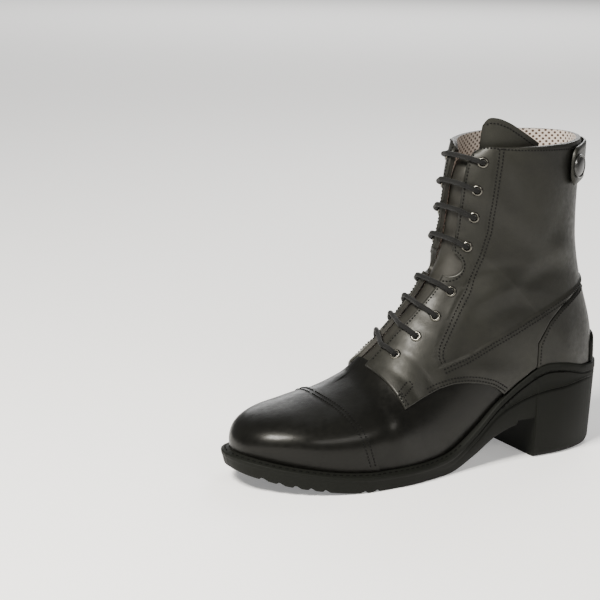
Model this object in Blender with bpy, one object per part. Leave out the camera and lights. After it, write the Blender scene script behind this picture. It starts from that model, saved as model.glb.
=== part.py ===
"""Paddock boot for the left foot, built as separate pieces on one last."""

import math

import bmesh
import bpy
import numpy as np
from mathutils import Matrix, Vector
from mathutils.bvhtree import BVHTree

MM = 0.001

# Sizes in millimetres.
SOLE_LENGTH = 285.0
WALL = 2.2
PIECE_GAP = 0.35
SEAT_GAP = 0.3
PANEL = 1.2
CAP_STEP = 1.2
INSOLE = 3.0
TONGUE = 2.6
TONGUE_RISE = 17.0
COLLAR_Z = 213.0
CORNER_DROP = 4.5
SHAFT_TWIST = 12.0
SHAFT_LEAN = 5.0
ZIP_HALF = 13.0
ZIP_BOTTOM = 114.0
EYELET_FLANGE = 3.7
EYELET_BARREL = 2.55
EYELET_BORE = 1.95
EYELET_HOLE = 2.95
FLANGE_HEIGHT = 0.9
LACE_RADIUS = 1.6
STRAP_LOW = 184.0
STRAP_HIGH = 210.0
STRAP_THICK = 2.0
STRAP_STAND = 4.3
BUTTON_RADIUS = 8.0
HEEL_BREAST = 66.0
TREAD_DEPTH = 1.8

# Looks as colour, metalness and roughness.
LEATHER = ((0.018, 0.017, 0.014), 0.0, 0.38)
RUBBER = ((0.022, 0.023, 0.019), 0.0, 0.6)
METAL = ((0.30, 0.29, 0.27), 1.0, 0.3)
CORD = ((0.010, 0.010, 0.010), 0.0, 0.85)
LINING = ((0.42, 0.38, 0.32), 0.0, 0.9)

# Rows of the last, from the toe tip (0) to the collar (29).  Each row runs
# from its foot end (on the feather line, later up the back) to its top end.
# foot_f, foot_z: foot end.  top_f, top_z: top end, both forward of the heel.
# lat, med: half-widths at the foot end on the outer and inner side.
# blat, bmed: widest half-widths.  belly: where the widest point sits.
# round: fullness of the top.  mid: sideways place of the ridge.
ROW_NAMES = ("foot_f", "foot_z", "top_f", "top_z", "lat", "med",
             "blat", "bmed", "belly", "round", "mid")
LAST_ROWS = (
    (273.3, 19.6, 273.7, 23.0, -4.0, 4.0, -4.0, 4.0, 0.4, 2.2, 4.0),
    (272.0, 19.3, 273.4, 29.2, 3.0, 9.6, 4.0, 10.4, 0.4, 2.2, 4.0),
    (268.0, 18.5, 271.2, 33.8, 10.8, 16.8, 11.8, 17.8, 0.4, 2.3, 4.2),
    (261.0, 17.1, 265.8, 39.2, 19.0, 24.2, 20.5, 25.7, 0.4, 2.4, 4.5),
    (250.8, 14.9, 256.8, 43.4, 27.2, 31.4, 29.0, 33.0, 0.38, 2.5, 5.2),
    (237.5, 12.6, 244.5, 46.6, 35.0, 37.6, 37.0, 39.2, 0.38, 2.5, 6.0),
    (222.0, 10.2, 228.0, 49.6, 40.6, 40.3, 42.4, 41.9, 0.38, 2.4, 7.0),
    (205.0, 8.6, 210.5, 53.2, 44.2, 41.1, 46.0, 42.6, 0.38, 2.3, 8.6),
    (188.0, 8.0, 195.5, 57.6, 45.3, 39.4, 46.8, 40.8, 0.36, 2.35, 11.0),
    (171.0, 8.0, 183.0, 63.2, 44.6, 36.6, 46.0, 38.2, 0.34, 2.3, 13.0),
    (153.0, 8.4, 174.0, 72.3, 41.2, 33.2, 43.0, 35.2, 0.32, 2.25, 13.0),
    (134.5, 11.0, 166.0, 81.5, 37.0, 30.6, 40.0, 33.4, 0.3, 2.2, 12.0),
    (116.0, 18.5, 158.0, 91.5, 33.6, 29.2, 38.3, 33.0, 0.3, 2.1, 10.5),
    (98.0, 27.0, 150.0, 101.3, 31.2, 28.6, 37.0, 33.4, 0.32, 2.05, 9.0),
    (80.0, 33.0, 142.3, 111.5, 30.2, 28.8, 36.2, 33.8, 0.36, 2.0, 7.5),
    (61.0, 36.0, 135.5, 121.0, 29.6, 28.8, 35.2, 34.2, 0.4, 2.0, 6.4),
    (42.0, 37.0, 130.8, 131.0, 29.6, 28.6, 35.2, 34.2, 0.44, 2.0, 5.3),
    (24.0, 37.0, 128.0, 139.0, 27.4, 26.2, 35.2, 34.2, 0.46, 2.0, 4.8),
    (11.5, 37.0, 126.3, 145.0, 21.0, 20.0, 35.2, 34.2, 0.47, 2.0, 4.3),
    (5.6, 37.0, 125.3, 150.0, 11.5, 11.0, 35.2, 34.2, 0.47, 2.0, 3.8),
    (4.2, 37.0, 124.6, 154.5, 0.0, 0.0, 35.2, 34.2, 0.47, 2.0, 3.3),
    (3.6, 52.0, 123.7, 161.5, 0.0, 0.0, 34.5, 33.6, 0.46, 2.0, 2.8),
    (3.6, 68.0, 122.9, 169.5, 0.0, 0.0, 34.2, 33.4, 0.45, 2.0, 2.3),
    (4.4, 86.0, 121.9, 178.5, 0.0, 0.0, 34.2, 33.4, 0.45, 2.0, 1.8),
    (8.0, 106.0, 120.7, 187.5, 0.0, 0.0, 35.4, 33.4, 0.45, 2.0, 1.2),
    (12.2, 127.0, 119.2, 195.5, 0.0, 0.0, 35.6, 33.6, 0.45, 2.0, 0.8),
    (14.4, 149.0, 117.5, 202.0, 0.0, 0.0, 36.0, 34.0, 0.45, 2.0, 0.4),
    (14.6, 171.0, 115.6, 207.0, 0.0, 0.0, 36.4, 34.4, 0.46, 2.0, 0.0),
    (14.2, 192.0, 113.7, 210.6, 0.0, 0.0, 36.6, 34.6, 0.47, 2.0, 0.0),
    (14.0, 213.0, 111.8, 213.0, 0.0, 0.0, 36.8, 34.8, 0.48, 2.0, 0.0),
)
HEEL_ROW = 20
CAP_ROW = 7.0
THROAT_ROW = 9.9
COLLAR_ROW = 29

# Half-width of the opening between the facings, by row.
FACING_ROWS = ((0.0, 10.0), (10.0, 10.0), (16.0, 9.0), (21.0, 8.0), (26.0, 7.5), (29.0, 8.5))

# Sole, by row of the last down to the heel back.  ledge: width outside the
# upper.  rise: how far the ledge climbs inward.  lip_lat, lip_med: top edge.
# low_lat, low_med: underside.  tuck: how far the side leans in at the floor.
# groove, rib: how far the two side lines lie below the top edge.
# step: how deep they are.
SOLE_NAMES = ("row", "ledge", "rise", "lip_lat", "lip_med", "low_lat", "low_med",
              "tuck", "groove", "rib", "step")
SOLE_ROWS = (
    (0.0, 5.4, 1.5, 21.8, 21.8, 12.5, 12.5, 2.5, 3.0, 6.0, 0.0),
    (1.0, 5.4, 1.5, 21.6, 21.6, 11.9, 11.9, 2.5, 3.0, 6.0, 0.0),
    (2.0, 5.4, 1.5, 20.8, 20.8, 10.4, 10.4, 2.5, 3.0, 6.0, 0.0),
    (3.0, 5.4, 1.5, 19.3, 19.3, 8.6, 8.6, 2.3, 3.0, 6.0, 0.0),
    (4.0, 5.4, 1.5, 17.2, 17.2, 6.0, 6.0, 2.0, 3.0, 6.0, 0.0),
    (5.0, 5.4, 1.5, 15.1, 15.1, 3.8, 3.8, 1.8, 3.0, 6.0, 0.0),
    (6.0, 5.4, 1.5, 12.6, 12.6, 1.4, 1.4, 1.6, 3.0, 6.0, 0.0),
    (7.0, 5.4, 1.5, 11.0, 11.2, 0.0, 0.0, 1.5, 3.0, 6.0, 0.0),
    (8.0, 5.4, 1.5, 10.4, 11.0, 0.0, 0.0, 1.5, 3.0, 6.0, 0.0),
    (9.0, 5.4, 1.5, 10.3, 12.0, 0.0, 0.0, 1.5, 3.0, 6.0, 0.0),
    (10.0, 5.2, 1.3, 10.8, 16.0, 0.0, 1.5, 1.6, 3.0, 6.0, 0.0),
    (11.0, 4.4, 1.0, 14.5, 24.5, 1.0, 6.0, 1.8, 3.4, 6.5, 0.1),
    (12.0, 3.6, 0.6, 27.0, 37.5, 8.6, 14.0, 2.2, 3.8, 8.0, 0.4),
    (13.0, 3.1, 0.3, 43.0, 48.0, 19.2, 19.8, 2.4, 4.2, 9.0, 0.7),
    (14.0, 2.9, 0.2, 55.0, 55.0, 24.9, 25.0, 2.4, 4.6, 13.0, 0.8),
    (15.0, 2.8, 0.0, 64.0, 60.5, 28.0, 28.0, 1.5, 5.0, 17.5, 0.8),
    (16.0, 2.8, 0.0, 63.2, 60.5, 0.0, 0.0, 1.2, 5.0, 15.5, 0.8),
    (17.0, 2.8, 0.0, 58.6, 58.0, 0.0, 0.0, 1.6, 5.0, 9.5, 0.6),
    (18.0, 2.8, 0.0, 57.2, 57.0, 0.0, 0.0, 2.2, 5.0, 9.0, 0.3),
    (19.0, 2.8, 0.0, 57.0, 57.0, 0.0, 0.0, 4.0, 5.0, 9.0, 0.0),
    (20.0, 2.8, 0.0, 57.0, 57.0, 0.0, 0.0, 5.8, 5.0, 9.0, 0.0),
)

# Lower edge of the quarters over the vamp, as forward and height.
VAMP_CURVE = ((60.0, 15.0), (88.0, 43.0), (95.0, 50.0), (104.0, 55.5), (114.0, 58.5),
              (124.0, 60.0), (134.0, 60.0), (144.0, 58.0), (153.0, 55.0), (173.0, 48.0))
# Where the quarters' front edge reaches the throat, and on beyond it.
QUARTER_TOP = (184.0, 90.0)
# Top edge of the counter, as forward and height, back of its upright front edge.
COUNTER_CURVE = ((-20.0, 110.0), (4.0, 110.0), (10.0, 112.0), (18.0, 112.5), (32.0, 108.5),
                 (45.5, 102.0), (57.0, 93.0), (66.5, 80.0))
# Eyelets on the facings, as distance from the ridge and height.
EYELETS = ((17.4, 203.0), (18.2, 185.0), (19.2, 167.0), (18.2, 147.5),
           (19.6, 118.2), (22.2, 102.3), (23.0, 89.2), (23.0, 77.5))
# Flex notch in each facing: how far in from the edge, and along the facing.
NOTCH_Z = 137.0
NOTCH = ((-7.0, 7.5), (1.5, 6.6), (6.5, 2.6), (8.6, -1.0), (8.0, -3.8), (5.0, -5.2), (-7.0, -5.8))
# Grooves across the tread, by their place forward of the heel.
TREAD = (266.0, 257.5, 249.0, 240.5, 232.0, 207.0, 198.5)


def smooth(x):
    """Smooth step from 0 to 1."""
    x = min(max(x, 0.0), 1.0)
    return x * x * (3.0 - 2.0 * x)


def blend(table, s):
    """Smooth curve through evenly spaced rows of a table."""
    count = len(table)
    i = int(min(max(math.floor(s), 0), count - 2))
    u = s - i
    p1 = table[i]
    p2 = table[i + 1]
    p0 = table[i - 1] if i > 0 else 2.0 * p1 - p2
    p3 = table[i + 2] if i + 2 < count else 2.0 * p2 - p1
    m1 = 0.5 * (p2 - p0)
    m2 = 0.5 * (p3 - p1)
    h1 = 2 * u**3 - 3 * u**2 + 1
    h2 = -2 * u**3 + 3 * u**2
    h3 = u**3 - 2 * u**2 + u
    h4 = u**3 - u**2
    return h1 * p1 + h2 * p2 + h3 * m1 + h4 * m2


LAST = np.array(LAST_ROWS)
SOLE = np.array(SOLE_ROWS)


def last_values(s):
    """Row of the last at s; the foot line and the back line meet in a corner."""
    if s <= HEEL_ROW:
        return blend(LAST[:HEEL_ROW + 1], s)
    return blend(LAST[HEEL_ROW:], s - HEEL_ROW)


def last_row(s):
    return dict(zip(ROW_NAMES, last_values(s)))


def sole_row(s):
    return dict(zip(SOLE_NAMES, blend(SOLE, s)))


def facing_half(s):
    rows = np.array(FACING_ROWS)
    return float(np.interp(s, rows[:, 0], rows[:, 1]))


def settle(points):
    """Turn and lean the shaft above the ankle."""
    z = points[:, 2]
    k = np.clip((z - 60.0) / 90.0, 0.0, 1.0)
    k = k * k * (3.0 - 2.0 * k)
    a = np.radians(SHAFT_TWIST) * k
    f = points[:, 0] - 62.0
    y = points[:, 1].copy()
    out = points.copy()
    out[:, 0] = 62.0 + f * np.cos(a) + y * np.sin(a)
    out[:, 1] = y * np.cos(a) - f * np.sin(a) + SHAFT_LEAN * k
    return out


ROW_CACHE = {}


def row_curve(s, side):
    """Dense section line of one row on one side, foot end to ridge.

    side is -1 on the outer side of the foot and 1 on the inner side.
    """
    key = (round(s, 5), side)
    if key in ROW_CACHE:
        return ROW_CACHE[key]
    r = last_row(s)
    foot = r["lat"] if side < 0 else r["med"]
    wide = r["blat"] if side < 0 else r["bmed"]
    mid = -side * r["mid"]
    half = wide + mid
    open_back = 1.0
    if wide > 0.1:
        open_back = min(max(1.0 - foot / wide, 0.0), 1.0)
    edge = min(facing_half(s) / max(half, 0.01), 0.999)
    beta_edge = math.acos(min(edge ** (r["round"] / 2.0), 1.0))
    pinch = 1.0 + 0.3 * smooth((s - 22.0) / 2.0) - 0.15 * smooth((s - 26.0) / 3.0)
    t = []
    w = []
    for alpha in np.linspace(0.0, math.pi / 2, 40):
        tau = 1.0 - math.cos(alpha)
        swell = open_back * math.sin(alpha) ** pinch + (1 - open_back) * math.sin(math.pi / 2 * tau)
        t.append(r["belly"] * tau)
        w.append(foot + (wide - foot) * swell)
    betas = list(np.linspace(0.0, beta_edge, 60)[1:]) + list(np.linspace(beta_edge, math.pi / 2, 24)[1:])
    power = 2.0 / r["round"]
    for beta in betas:
        t.append(r["belly"] + (1 - r["belly"]) * math.sin(beta) ** power)
        w.append(half * max(math.cos(beta), 0.0) ** power - mid)
    t = np.array(t)
    w = np.array(w)
    f = r["foot_f"] + (r["top_f"] - r["foot_f"]) * t
    z = r["foot_z"] + (r["top_z"] - r["foot_z"]) * t
    points = settle(np.stack([f, side * w, z], axis=1))
    steps = np.linalg.norm(np.diff(points, axis=0), axis=1)
    length = np.concatenate([[0.0], np.cumsum(steps)])
    at_edge = length[98]
    a = np.where(length <= at_edge, length / max(at_edge, 1e-6),
                 1.0 + (length - at_edge) / max(length[-1] - at_edge, 1e-6))
    corner = smooth((s - 26.5) / 2.5)
    drop = CORNER_DROP * corner * np.clip((a - 0.9) / 0.1, 0.0, 1.0) ** 2
    points[:, 2] -= drop
    ROW_CACHE[key] = (a, points)
    return ROW_CACHE[key]


def last_point(s, side, a):
    """Point of the last; a runs 0 at the foot end, 1 at the facing, 2 at the ridge."""
    along, points = row_curve(s, side)
    return np.array([np.interp(a, along, points[:, k]) for k in range(3)])


def unit(v):
    return v / max(np.linalg.norm(v), 1e-9)


def to_model(p):
    """Last coordinates in millimetres to the model frame in metres."""
    return ((SOLE_LENGTH / 2 - p[0]) * MM, p[1] * MM, p[2] * MM)


def material(name, color, metallic, rough):
    mat = bpy.data.materials.new(name)
    mat.use_nodes = True
    shader = mat.node_tree.nodes["Principled BSDF"]
    shader.inputs["Base Color"].default_value = (*color, 1.0)
    shader.inputs["Metallic"].default_value = metallic
    shader.inputs["Roughness"].default_value = rough
    return mat


def new_object(name, verts, faces, look, smooth_angle=35.0):
    """Mesh object from last coordinates, with its own material."""
    mesh = bpy.data.meshes.new(name)
    mesh.from_pydata([to_model(v) for v in verts], [], faces)
    mesh.update()
    work = bmesh.new()
    work.from_mesh(mesh)
    bmesh.ops.remove_doubles(work, verts=work.verts, dist=0.00002)
    bmesh.ops.dissolve_degenerate(work, edges=work.edges, dist=0.000002)
    bmesh.ops.recalc_face_normals(work, faces=work.faces)
    work.to_mesh(mesh)
    work.free()
    obj = bpy.data.objects.new(name, mesh)
    bpy.context.scene.collection.objects.link(obj)
    color, metallic, rough = look
    obj.data.materials.append(material(name, color, metallic, rough))
    for poly in mesh.polygons:
        poly.use_smooth = True
    mesh.set_sharp_from_angle(angle=math.radians(smooth_angle))
    return obj


def split(a, b, c, d):
    """Two triangles for one square, always along the same diagonal."""
    return [(a, b, c), (a, c, d)]


def shell(name, outer, inner, look):
    """Solid between two grids of points of the same shape."""
    rows, cols = outer.shape[:2]
    verts = [tuple(p) for p in outer.reshape(-1, 3)] + [tuple(p) for p in inner.reshape(-1, 3)]
    off = rows * cols
    faces = []
    for i in range(rows - 1):
        for j in range(cols - 1):
            a = i * cols + j
            faces += split(a, a + 1, a + cols + 1, a + cols)
            faces += split(off + a, off + a + 1, off + a + cols + 1, off + a + cols)
    for i in range(rows - 1):
        for a in (i * cols, i * cols + cols - 1):
            faces.append((a, a + cols, off + a + cols, off + a))
    for j in range(cols - 1):
        for a in (j, (rows - 1) * cols + j):
            faces.append((a, a + 1, off + a + 1, off + a))
    return new_object(name, verts, faces, look)


def tree_of(verts, faces):
    return BVHTree.FromPolygons([Vector(v) for v in verts], faces)


UPPER_ROWS = ([0.0, 0.6, 1.2, 1.9, 2.7, 3.5, 4.4, 5.4, 6.3, CAP_ROW - 0.02, CAP_ROW + 0.02, 8.0, 9.0,
               THROAT_ROW, 10.5] + [float(k) for k in range(11, 18)] +
              [18.0, 18.5, 19.0, 19.5, 20.0] + [21.5, 23.0, 24.5, 26.0, 27.5, 29.0])
BODY_COLS = 9
GAP_COLS = 2


def upper_columns():
    low = [0.0, 0.03, 0.08]
    rest = list(np.linspace(0.08, 1.0, BODY_COLS + 1)[1:])
    gap = list(1.0 + np.linspace(0.0, 1.0, GAP_COLS + 1)[1:])
    return low + rest, gap


def upper_grid():
    """Grid of points on the upper's outside with their outward normals."""
    body, gap = upper_columns()
    half = body + gap
    m = len(half) - 1
    rows = len(UPPER_ROWS)
    cols = 2 * m + 1
    base = np.zeros((rows, cols, 3))
    for i, s in enumerate(UPPER_ROWS):
        for j, a in enumerate(half):
            base[i, j] = last_point(s, -1, a)
            base[i, cols - 1 - j] = last_point(s, 1, a)
    normals = np.zeros_like(base)
    for i, s in enumerate(UPPER_ROWS):
        for j, a in enumerate(half):
            normals[i, j] = surface_normal(max(s, 0.3), -1, a)
            normals[i, cols - 1 - j] = surface_normal(max(s, 0.3), 1, a)
        ridge = normals[i, m] + surface_normal(max(s, 0.3), -1, 2.0)
        normals[i, m] = unit(ridge)
        back = normals[i, 0] + normals[i, cols - 1]
        for j in (0, cols - 1):
            if s >= HEEL_ROW:
                normals[i, j] = unit(np.array([back[0], 0.0, np.clip(back[2], -0.2, 0.2)]))
            else:
                normals[i, j] = unit(normals[i, j] * np.array([1.0, 1.0, 0.0]))
    normals[0] = unit(np.array([1.0, 0.0, 0.12]))
    return {"base": base, "normals": normals, "side": len(body) - 1, "cols": cols}


def build_upper(grid):
    base = grid["base"]
    normals = grid["normals"]
    k = grid["side"]
    cols = grid["cols"]
    rows = len(UPPER_ROWS)
    outer = base.copy()
    outer[:UPPER_ROWS.index(CAP_ROW + 0.02)] += normals[:UPPER_ROWS.index(CAP_ROW + 0.02)] * CAP_STEP
    inner = base - normals * WALL
    for i, s in enumerate(UPPER_ROWS):
        if s <= HEEL_ROW:
            for j in (0, cols - 1):
                inner[i, j, 2] = base[i, j, 2]
                outer[i, j, 2] = base[i, j, 2]
    throat = UPPER_ROWS.index(THROAT_ROW)
    verts = [tuple(p) for p in outer.reshape(-1, 3)] + [tuple(p) for p in inner.reshape(-1, 3)]
    off = rows * cols

    def solid(i, j):
        return not (i >= throat and k <= j < cols - 1 - k)

    faces = []
    for i in range(rows - 1):
        for j in range(cols - 1):
            if not solid(i, j):
                continue
            a = i * cols + j
            faces += split(a, a + 1, a + cols + 1, a + cols)
            faces += split(off + a, off + a + 1, off + a + cols + 1, off + a + cols)
            if j == k - 1 and i >= throat:
                faces.append((a + 1, off + a + 1, off + a + cols + 1, a + cols + 1))
            if j == cols - 1 - k and i >= throat:
                faces.append((a, a + cols, off + a + cols, off + a))
    heel = UPPER_ROWS.index(float(HEEL_ROW))
    for i in range(heel):
        for j in (0, cols - 1):
            a = i * cols + j
            faces.append((a, off + a, off + a + cols, a + cols))
    for j in range(k, cols - 1 - k):
        a = throat * cols + j
        faces.append((a, a + 1, off + a + 1, off + a))
    for j in range(cols - 1):
        if solid(rows - 2, j):
            a = (rows - 1) * cols + j
            faces.append((a, a + 1, off + a + 1, off + a))
    obj = new_object("upper", verts, faces, LEATHER)
    tree = tree_of(verts, [q for q in faces if max(q) < off])
    return obj, tree


def skin(name, grid, keep):
    """Panel lying on the upper's outside; keep picks the squares of the grid."""
    base = grid["base"]
    cols = grid["cols"]
    triangles = []
    for i in range(len(UPPER_ROWS) - 1):
        for j in range(cols - 1):
            if not keep(i, j):
                continue
            corners = []
            for p, q in ((i, j), (i, j + 1), (i + 1, j + 1), (i + 1, j)):
                if q == cols - 1 and UPPER_ROWS[p] >= HEEL_ROW:
                    q = 0
                corners.append(p * cols + q)
            triangles += split(*corners)
    edges = [(t[k], t[(k + 1) % 3]) for t in triangles for k in range(3)]
    edge_set = set(edges)
    rim = [e for e in edges if (e[1], e[0]) not in edge_set]
    used = sorted({v for t in triangles for v in t})
    place = {v: n for n, v in enumerate(used)}
    flat = base.reshape(-1, 3)
    away = grid["normals"].reshape(-1, 3)
    near = [tuple(flat[v] + away[v] * PIECE_GAP) for v in used]
    far = [tuple(flat[v] + away[v] * (PIECE_GAP + PANEL)) for v in used]
    off = len(used)
    faces = []
    for t in triangles:
        faces.append(tuple(place[v] + off for v in t))
        faces.append(tuple(place[v] for v in reversed(t)))
    for u, v in rim:
        faces.append((place[u], place[v], place[v] + off, place[u] + off))
    return new_object(name, near + far, faces, LEATHER)


def prism(outline, along, low, high):
    """Closed solid with a flat outline: along y over forward and height, or along f over y and height."""
    verts = []
    for far in (low, high):
        for p, z in outline:
            verts.append((p, far, z) if along == "y" else (far, p, z))
    n = len(outline)
    faces = [tuple(range(n)), tuple(range(2 * n - 1, n - 1, -1))]
    for k in range(n):
        m = (k + 1) % n
        faces.append((k, n + k, n + m, m))
    return [np.array(v) for v in verts], faces


FOOT_S = np.linspace(0.0, HEEL_ROW, 801)
FOOT_F = np.array([last_values(s)[0] for s in FOOT_S])
BACK_S = np.linspace(HEEL_ROW, COLLAR_ROW, 361)
BACK_Z = np.array([last_values(max(s, HEEL_ROW + 1e-6))[1] for s in BACK_S])
LIP_LAT = np.array([blend(SOLE, s)[3] for s in FOOT_S])
LIP_MED = np.array([blend(SOLE, s)[4] for s in FOOT_S])


def row_at_foot(f):
    return float(np.interp(-f, -FOOT_F, FOOT_S))


def outline_normal(s, side):
    """Outward direction of the foot outline, flat."""
    a = last_point(max(s - 0.15, 0.0), side, 0.0)
    b = last_point(min(s + 0.15, HEEL_ROW), side, 0.0)
    if s < 0.1:
        return np.array([1.0, 0.0, 0.0])
    if s > HEEL_ROW - 0.02:
        return np.array([-1.0, 0.0, 0.0])
    d = b - a
    d[2] = 0.0
    n = np.array([d[1], -d[0], 0.0]) * side
    return unit(n)


def wall_hit(tree, base, n, z):
    """Where the upper's outside lies at height z, seen along the outline normal."""
    start = base + n * 40.0
    start[2] = z
    hit = tree.ray_cast(Vector(start), Vector(-n), 80.0)
    if hit[0] is None:
        point = base.copy()
        point[2] = z
        return point
    return np.array(hit[0])


def sole_stations():
    front = row_at_foot(HEEL_BREAST + 0.25)
    rear = row_at_foot(HEEL_BREAST - 0.25)
    rows = [s for s in UPPER_ROWS if s < CAP_ROW - 0.1] + [CAP_ROW - 0.07, CAP_ROW + 0.09]
    rows += [8.0, 9.0, 9.9, 10.5, 11.0, 11.5, 12.0, 12.5, 13.0, 13.5, 14.0, front, rear, 15.3, 16.0]
    rows += [16.5, 17.0, 17.5, 18.0, 18.5, 19.0, 19.5, 20.0]
    return rows, rear


def wing_edge(f, side):
    """Height of the sole's top edge along the side."""
    return float(np.interp(-f, -FOOT_F, LIP_LAT if side < 0 else LIP_MED))


def build_sole(tree):
    stations, rear = sole_stations()
    loops = []
    for s in stations:
        r = sole_row(s)
        heel = s >= rear - 1e-6
        half = []
        for side in (-1, 1):
            base = last_point(s, side, 0.0)
            bed = base[2] - SEAT_GAP
            n = outline_normal(s, side)
            lip = r["lip_lat"] if side < 0 else r["lip_med"]
            low = r["low_lat"] if side < 0 else r["low_med"]
            if heel:
                low = 0.0
            elif s > 14.0:
                low = 27.5
            low = max(low, 0.0)
            top = lip + r["rise"]
            extra = 0.15 if abs(s - CAP_ROW) < 0.1 else 0.0
            inner = []
            for part in (0.0, 0.2, 0.55, 1.0):
                z = bed + (top - bed) * part
                hit = wall_hit(tree, base, n, max(z, base[2] + 0.25))
                point = hit + n * (PIECE_GAP + (0.15 if s < 11.2 else 0.6 if part > 0.5 else 1.5) + extra)
                point[2] = z
                inner.append(point)
            edge = inner[3] + n * r["ledge"]
            edge[2] = lip
            tall = lip - low
            groove = min(r["groove"], 0.35 * tall)
            rib = min(r["rib"], 0.62 * tall)
            step = r["step"]

            def side_point(z, inset):
                lean = (lip - z) / max(lip - low, 1.0)
                p = edge - n * (r["tuck"] * lean ** 1.2 + inset)
                p[2] = z
                return p

            chamfer = 3.6 if heel else 1.2
            outer = [
                edge,
                side_point(lip - groove + 0.5, -0.2),
                side_point(lip - groove, 0.9 * step),
                side_point(lip - groove - 0.9, 0.0),
                side_point(lip - rib, 0.9 * step),
                side_point(lip - rib - 1.0, 0.0),
                side_point(low + chamfer, 0.0),
                side_point(low, 0.8 * chamfer),
            ]
            half.append(outer[::-1] + inner[::-1])
        loops.append(half[0] + half[1][::-1])
    rows = len(loops)
    cols = len(loops[0])
    verts = [tuple(p) for loop in loops for p in loop]
    faces = []
    for i in range(rows - 1):
        for j in range(cols):
            a = i * cols + j
            b = i * cols + (j + 1) % cols
            faces.append((a, b, b + cols, a + cols))
    return new_object("outsole", verts, faces, RUBBER, 30.0)


def build_insole():
    rows = [s for s in sole_stations()[0] if not 5.5 < s < CAP_ROW]
    low = []
    for s in rows:
        pair = []
        for side in (-1, 1):
            base = last_point(s, side, 0.0)
            n = outline_normal(s, side)
            point = base - n * (WALL + (0.6 if s < 12.0 else 2.4))
            if s < 0.1 or s > HEEL_ROW - 0.1:
                point[1] = base[1]
            point[2] += 0.45
            pair.append(point)
        low.append(pair)
    low = np.array(low)
    grid = np.zeros((len(rows), 3, 3))
    for c, k in enumerate((0.0, 0.5, 1.0)):
        grid[:, c] = low[:, 0] * (1 - k) + low[:, 1] * k
    top = grid.copy()
    top[:, :, 2] += INSOLE
    return shell("insole", top, grid, LINING)


MIDDLE_Y = np.array([last_point(s, -1, 0.0)[1] for s in BACK_S[::6]])


def zip_middle(z):
    return float(np.interp(z, BACK_Z[::6], MIDDLE_Y))


def side_cutters(side, low=-90.0, high=90.0):
    """What is taken off a panel on one side: below the sole's edge, and for the height of a panel."""
    stations = np.linspace(-24.0, 230.0, 40)
    edge = [(f, wing_edge(min(max(f, 4.2), 273.0), side) + 0.4 + SEAT_GAP) for f in stations]
    return prism([(-24.0, -20.0)] + edge + [(230.0, -20.0)], "y", low, high)


def counter_outline(grow):
    top = [(f, z + grow) for f, z in COUNTER_CURVE[:-1]]
    corner = COUNTER_CURVE[-1]
    return top + [(corner[0] + grow, corner[1] + grow * 0.7), (corner[0] + grow, -25.0), (-20.0, -25.0)]


def zip_slot():
    """Opening down the back of the shaft, round at its foot."""
    turn = ZIP_BOTTOM + ZIP_HALF - 3.0
    heights = (turn, 140.0, 160.0, 180.0, 200.0, 225.0)
    outer = [(zip_middle(z) - ZIP_HALF, z) for z in reversed(heights)]
    inner = [(zip_middle(z) + ZIP_HALF, z) for z in heights]
    arc = []
    for k in range(1, 8):
        turned_by = math.pi * k / 8
        arc.append((zip_middle(turn) - ZIP_HALF * math.cos(turned_by), turn - ZIP_HALF * math.sin(turned_by)))
    return prism(outer + arc + inner, "f", -25.0, 45.0)


def build_quarter(name, grid, side):
    first = UPPER_ROWS.index(9.0)
    k = grid["side"]
    last = grid["cols"] - 1 - k
    if side < 0:
        quarter = skin(name, grid, lambda i, j: i >= first and j < k)
    else:
        quarter = skin(name, grid, lambda i, j: i >= first and j >= last)
    vamp = [(60.0, -30.0)] + list(VAMP_CURVE) + [QUARTER_TOP, (230.0, 90.0), (230.0, -30.0)]
    cut(quarter, name + "_over_vamp", [prism(vamp, "y", -92.0, 92.0)])
    cut(quarter, name + "_over_sole", [side_cutters(side)])
    cut(quarter, name + "_at_counter", [prism(counter_outline(0.5), "y", -91.0, 91.0)])
    cut(quarter, name + "_at_zip", [zip_slot()])
    return quarter


def surface_normal(s, side, a):
    ds = 0.12
    da = 0.02
    s0, s1 = max(s - ds, 0.0), min(s + ds, COLLAR_ROW)
    a0, a1 = max(a - da, 0.0), min(a + da, 2.0)
    du = last_point(s1, side, a) - last_point(s0, side, a)
    dv = last_point(s, side, a1) - last_point(s, side, a0)
    n = unit(np.cross(du, dv))
    return n * side


def panel_point(s, side, a, off):
    """Point at a height off the upper, along its outward direction."""
    return last_point(s, side, a) + surface_normal(s, side, a) * off


def build_counter(grid):
    """Heel panel, round the back from the outer seam to the inner seam."""
    first = UPPER_ROWS.index(13.0)
    final = UPPER_ROWS.index(26.0)
    k = grid["side"]
    last = grid["cols"] - 1 - k
    counter = skin("counter", grid, lambda i, j: first <= i < final and (j < k or j >= last))
    cut(counter, "counter_outline", [prism(counter_outline(0.0), "y", -90.0, 90.0)], "INTERSECT")
    cut(counter, "counter_over_sole_outer", [side_cutters(-1, -95.0, 0.5)])
    cut(counter, "counter_over_sole_inner", [side_cutters(1, -0.5, 95.0)])


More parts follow.
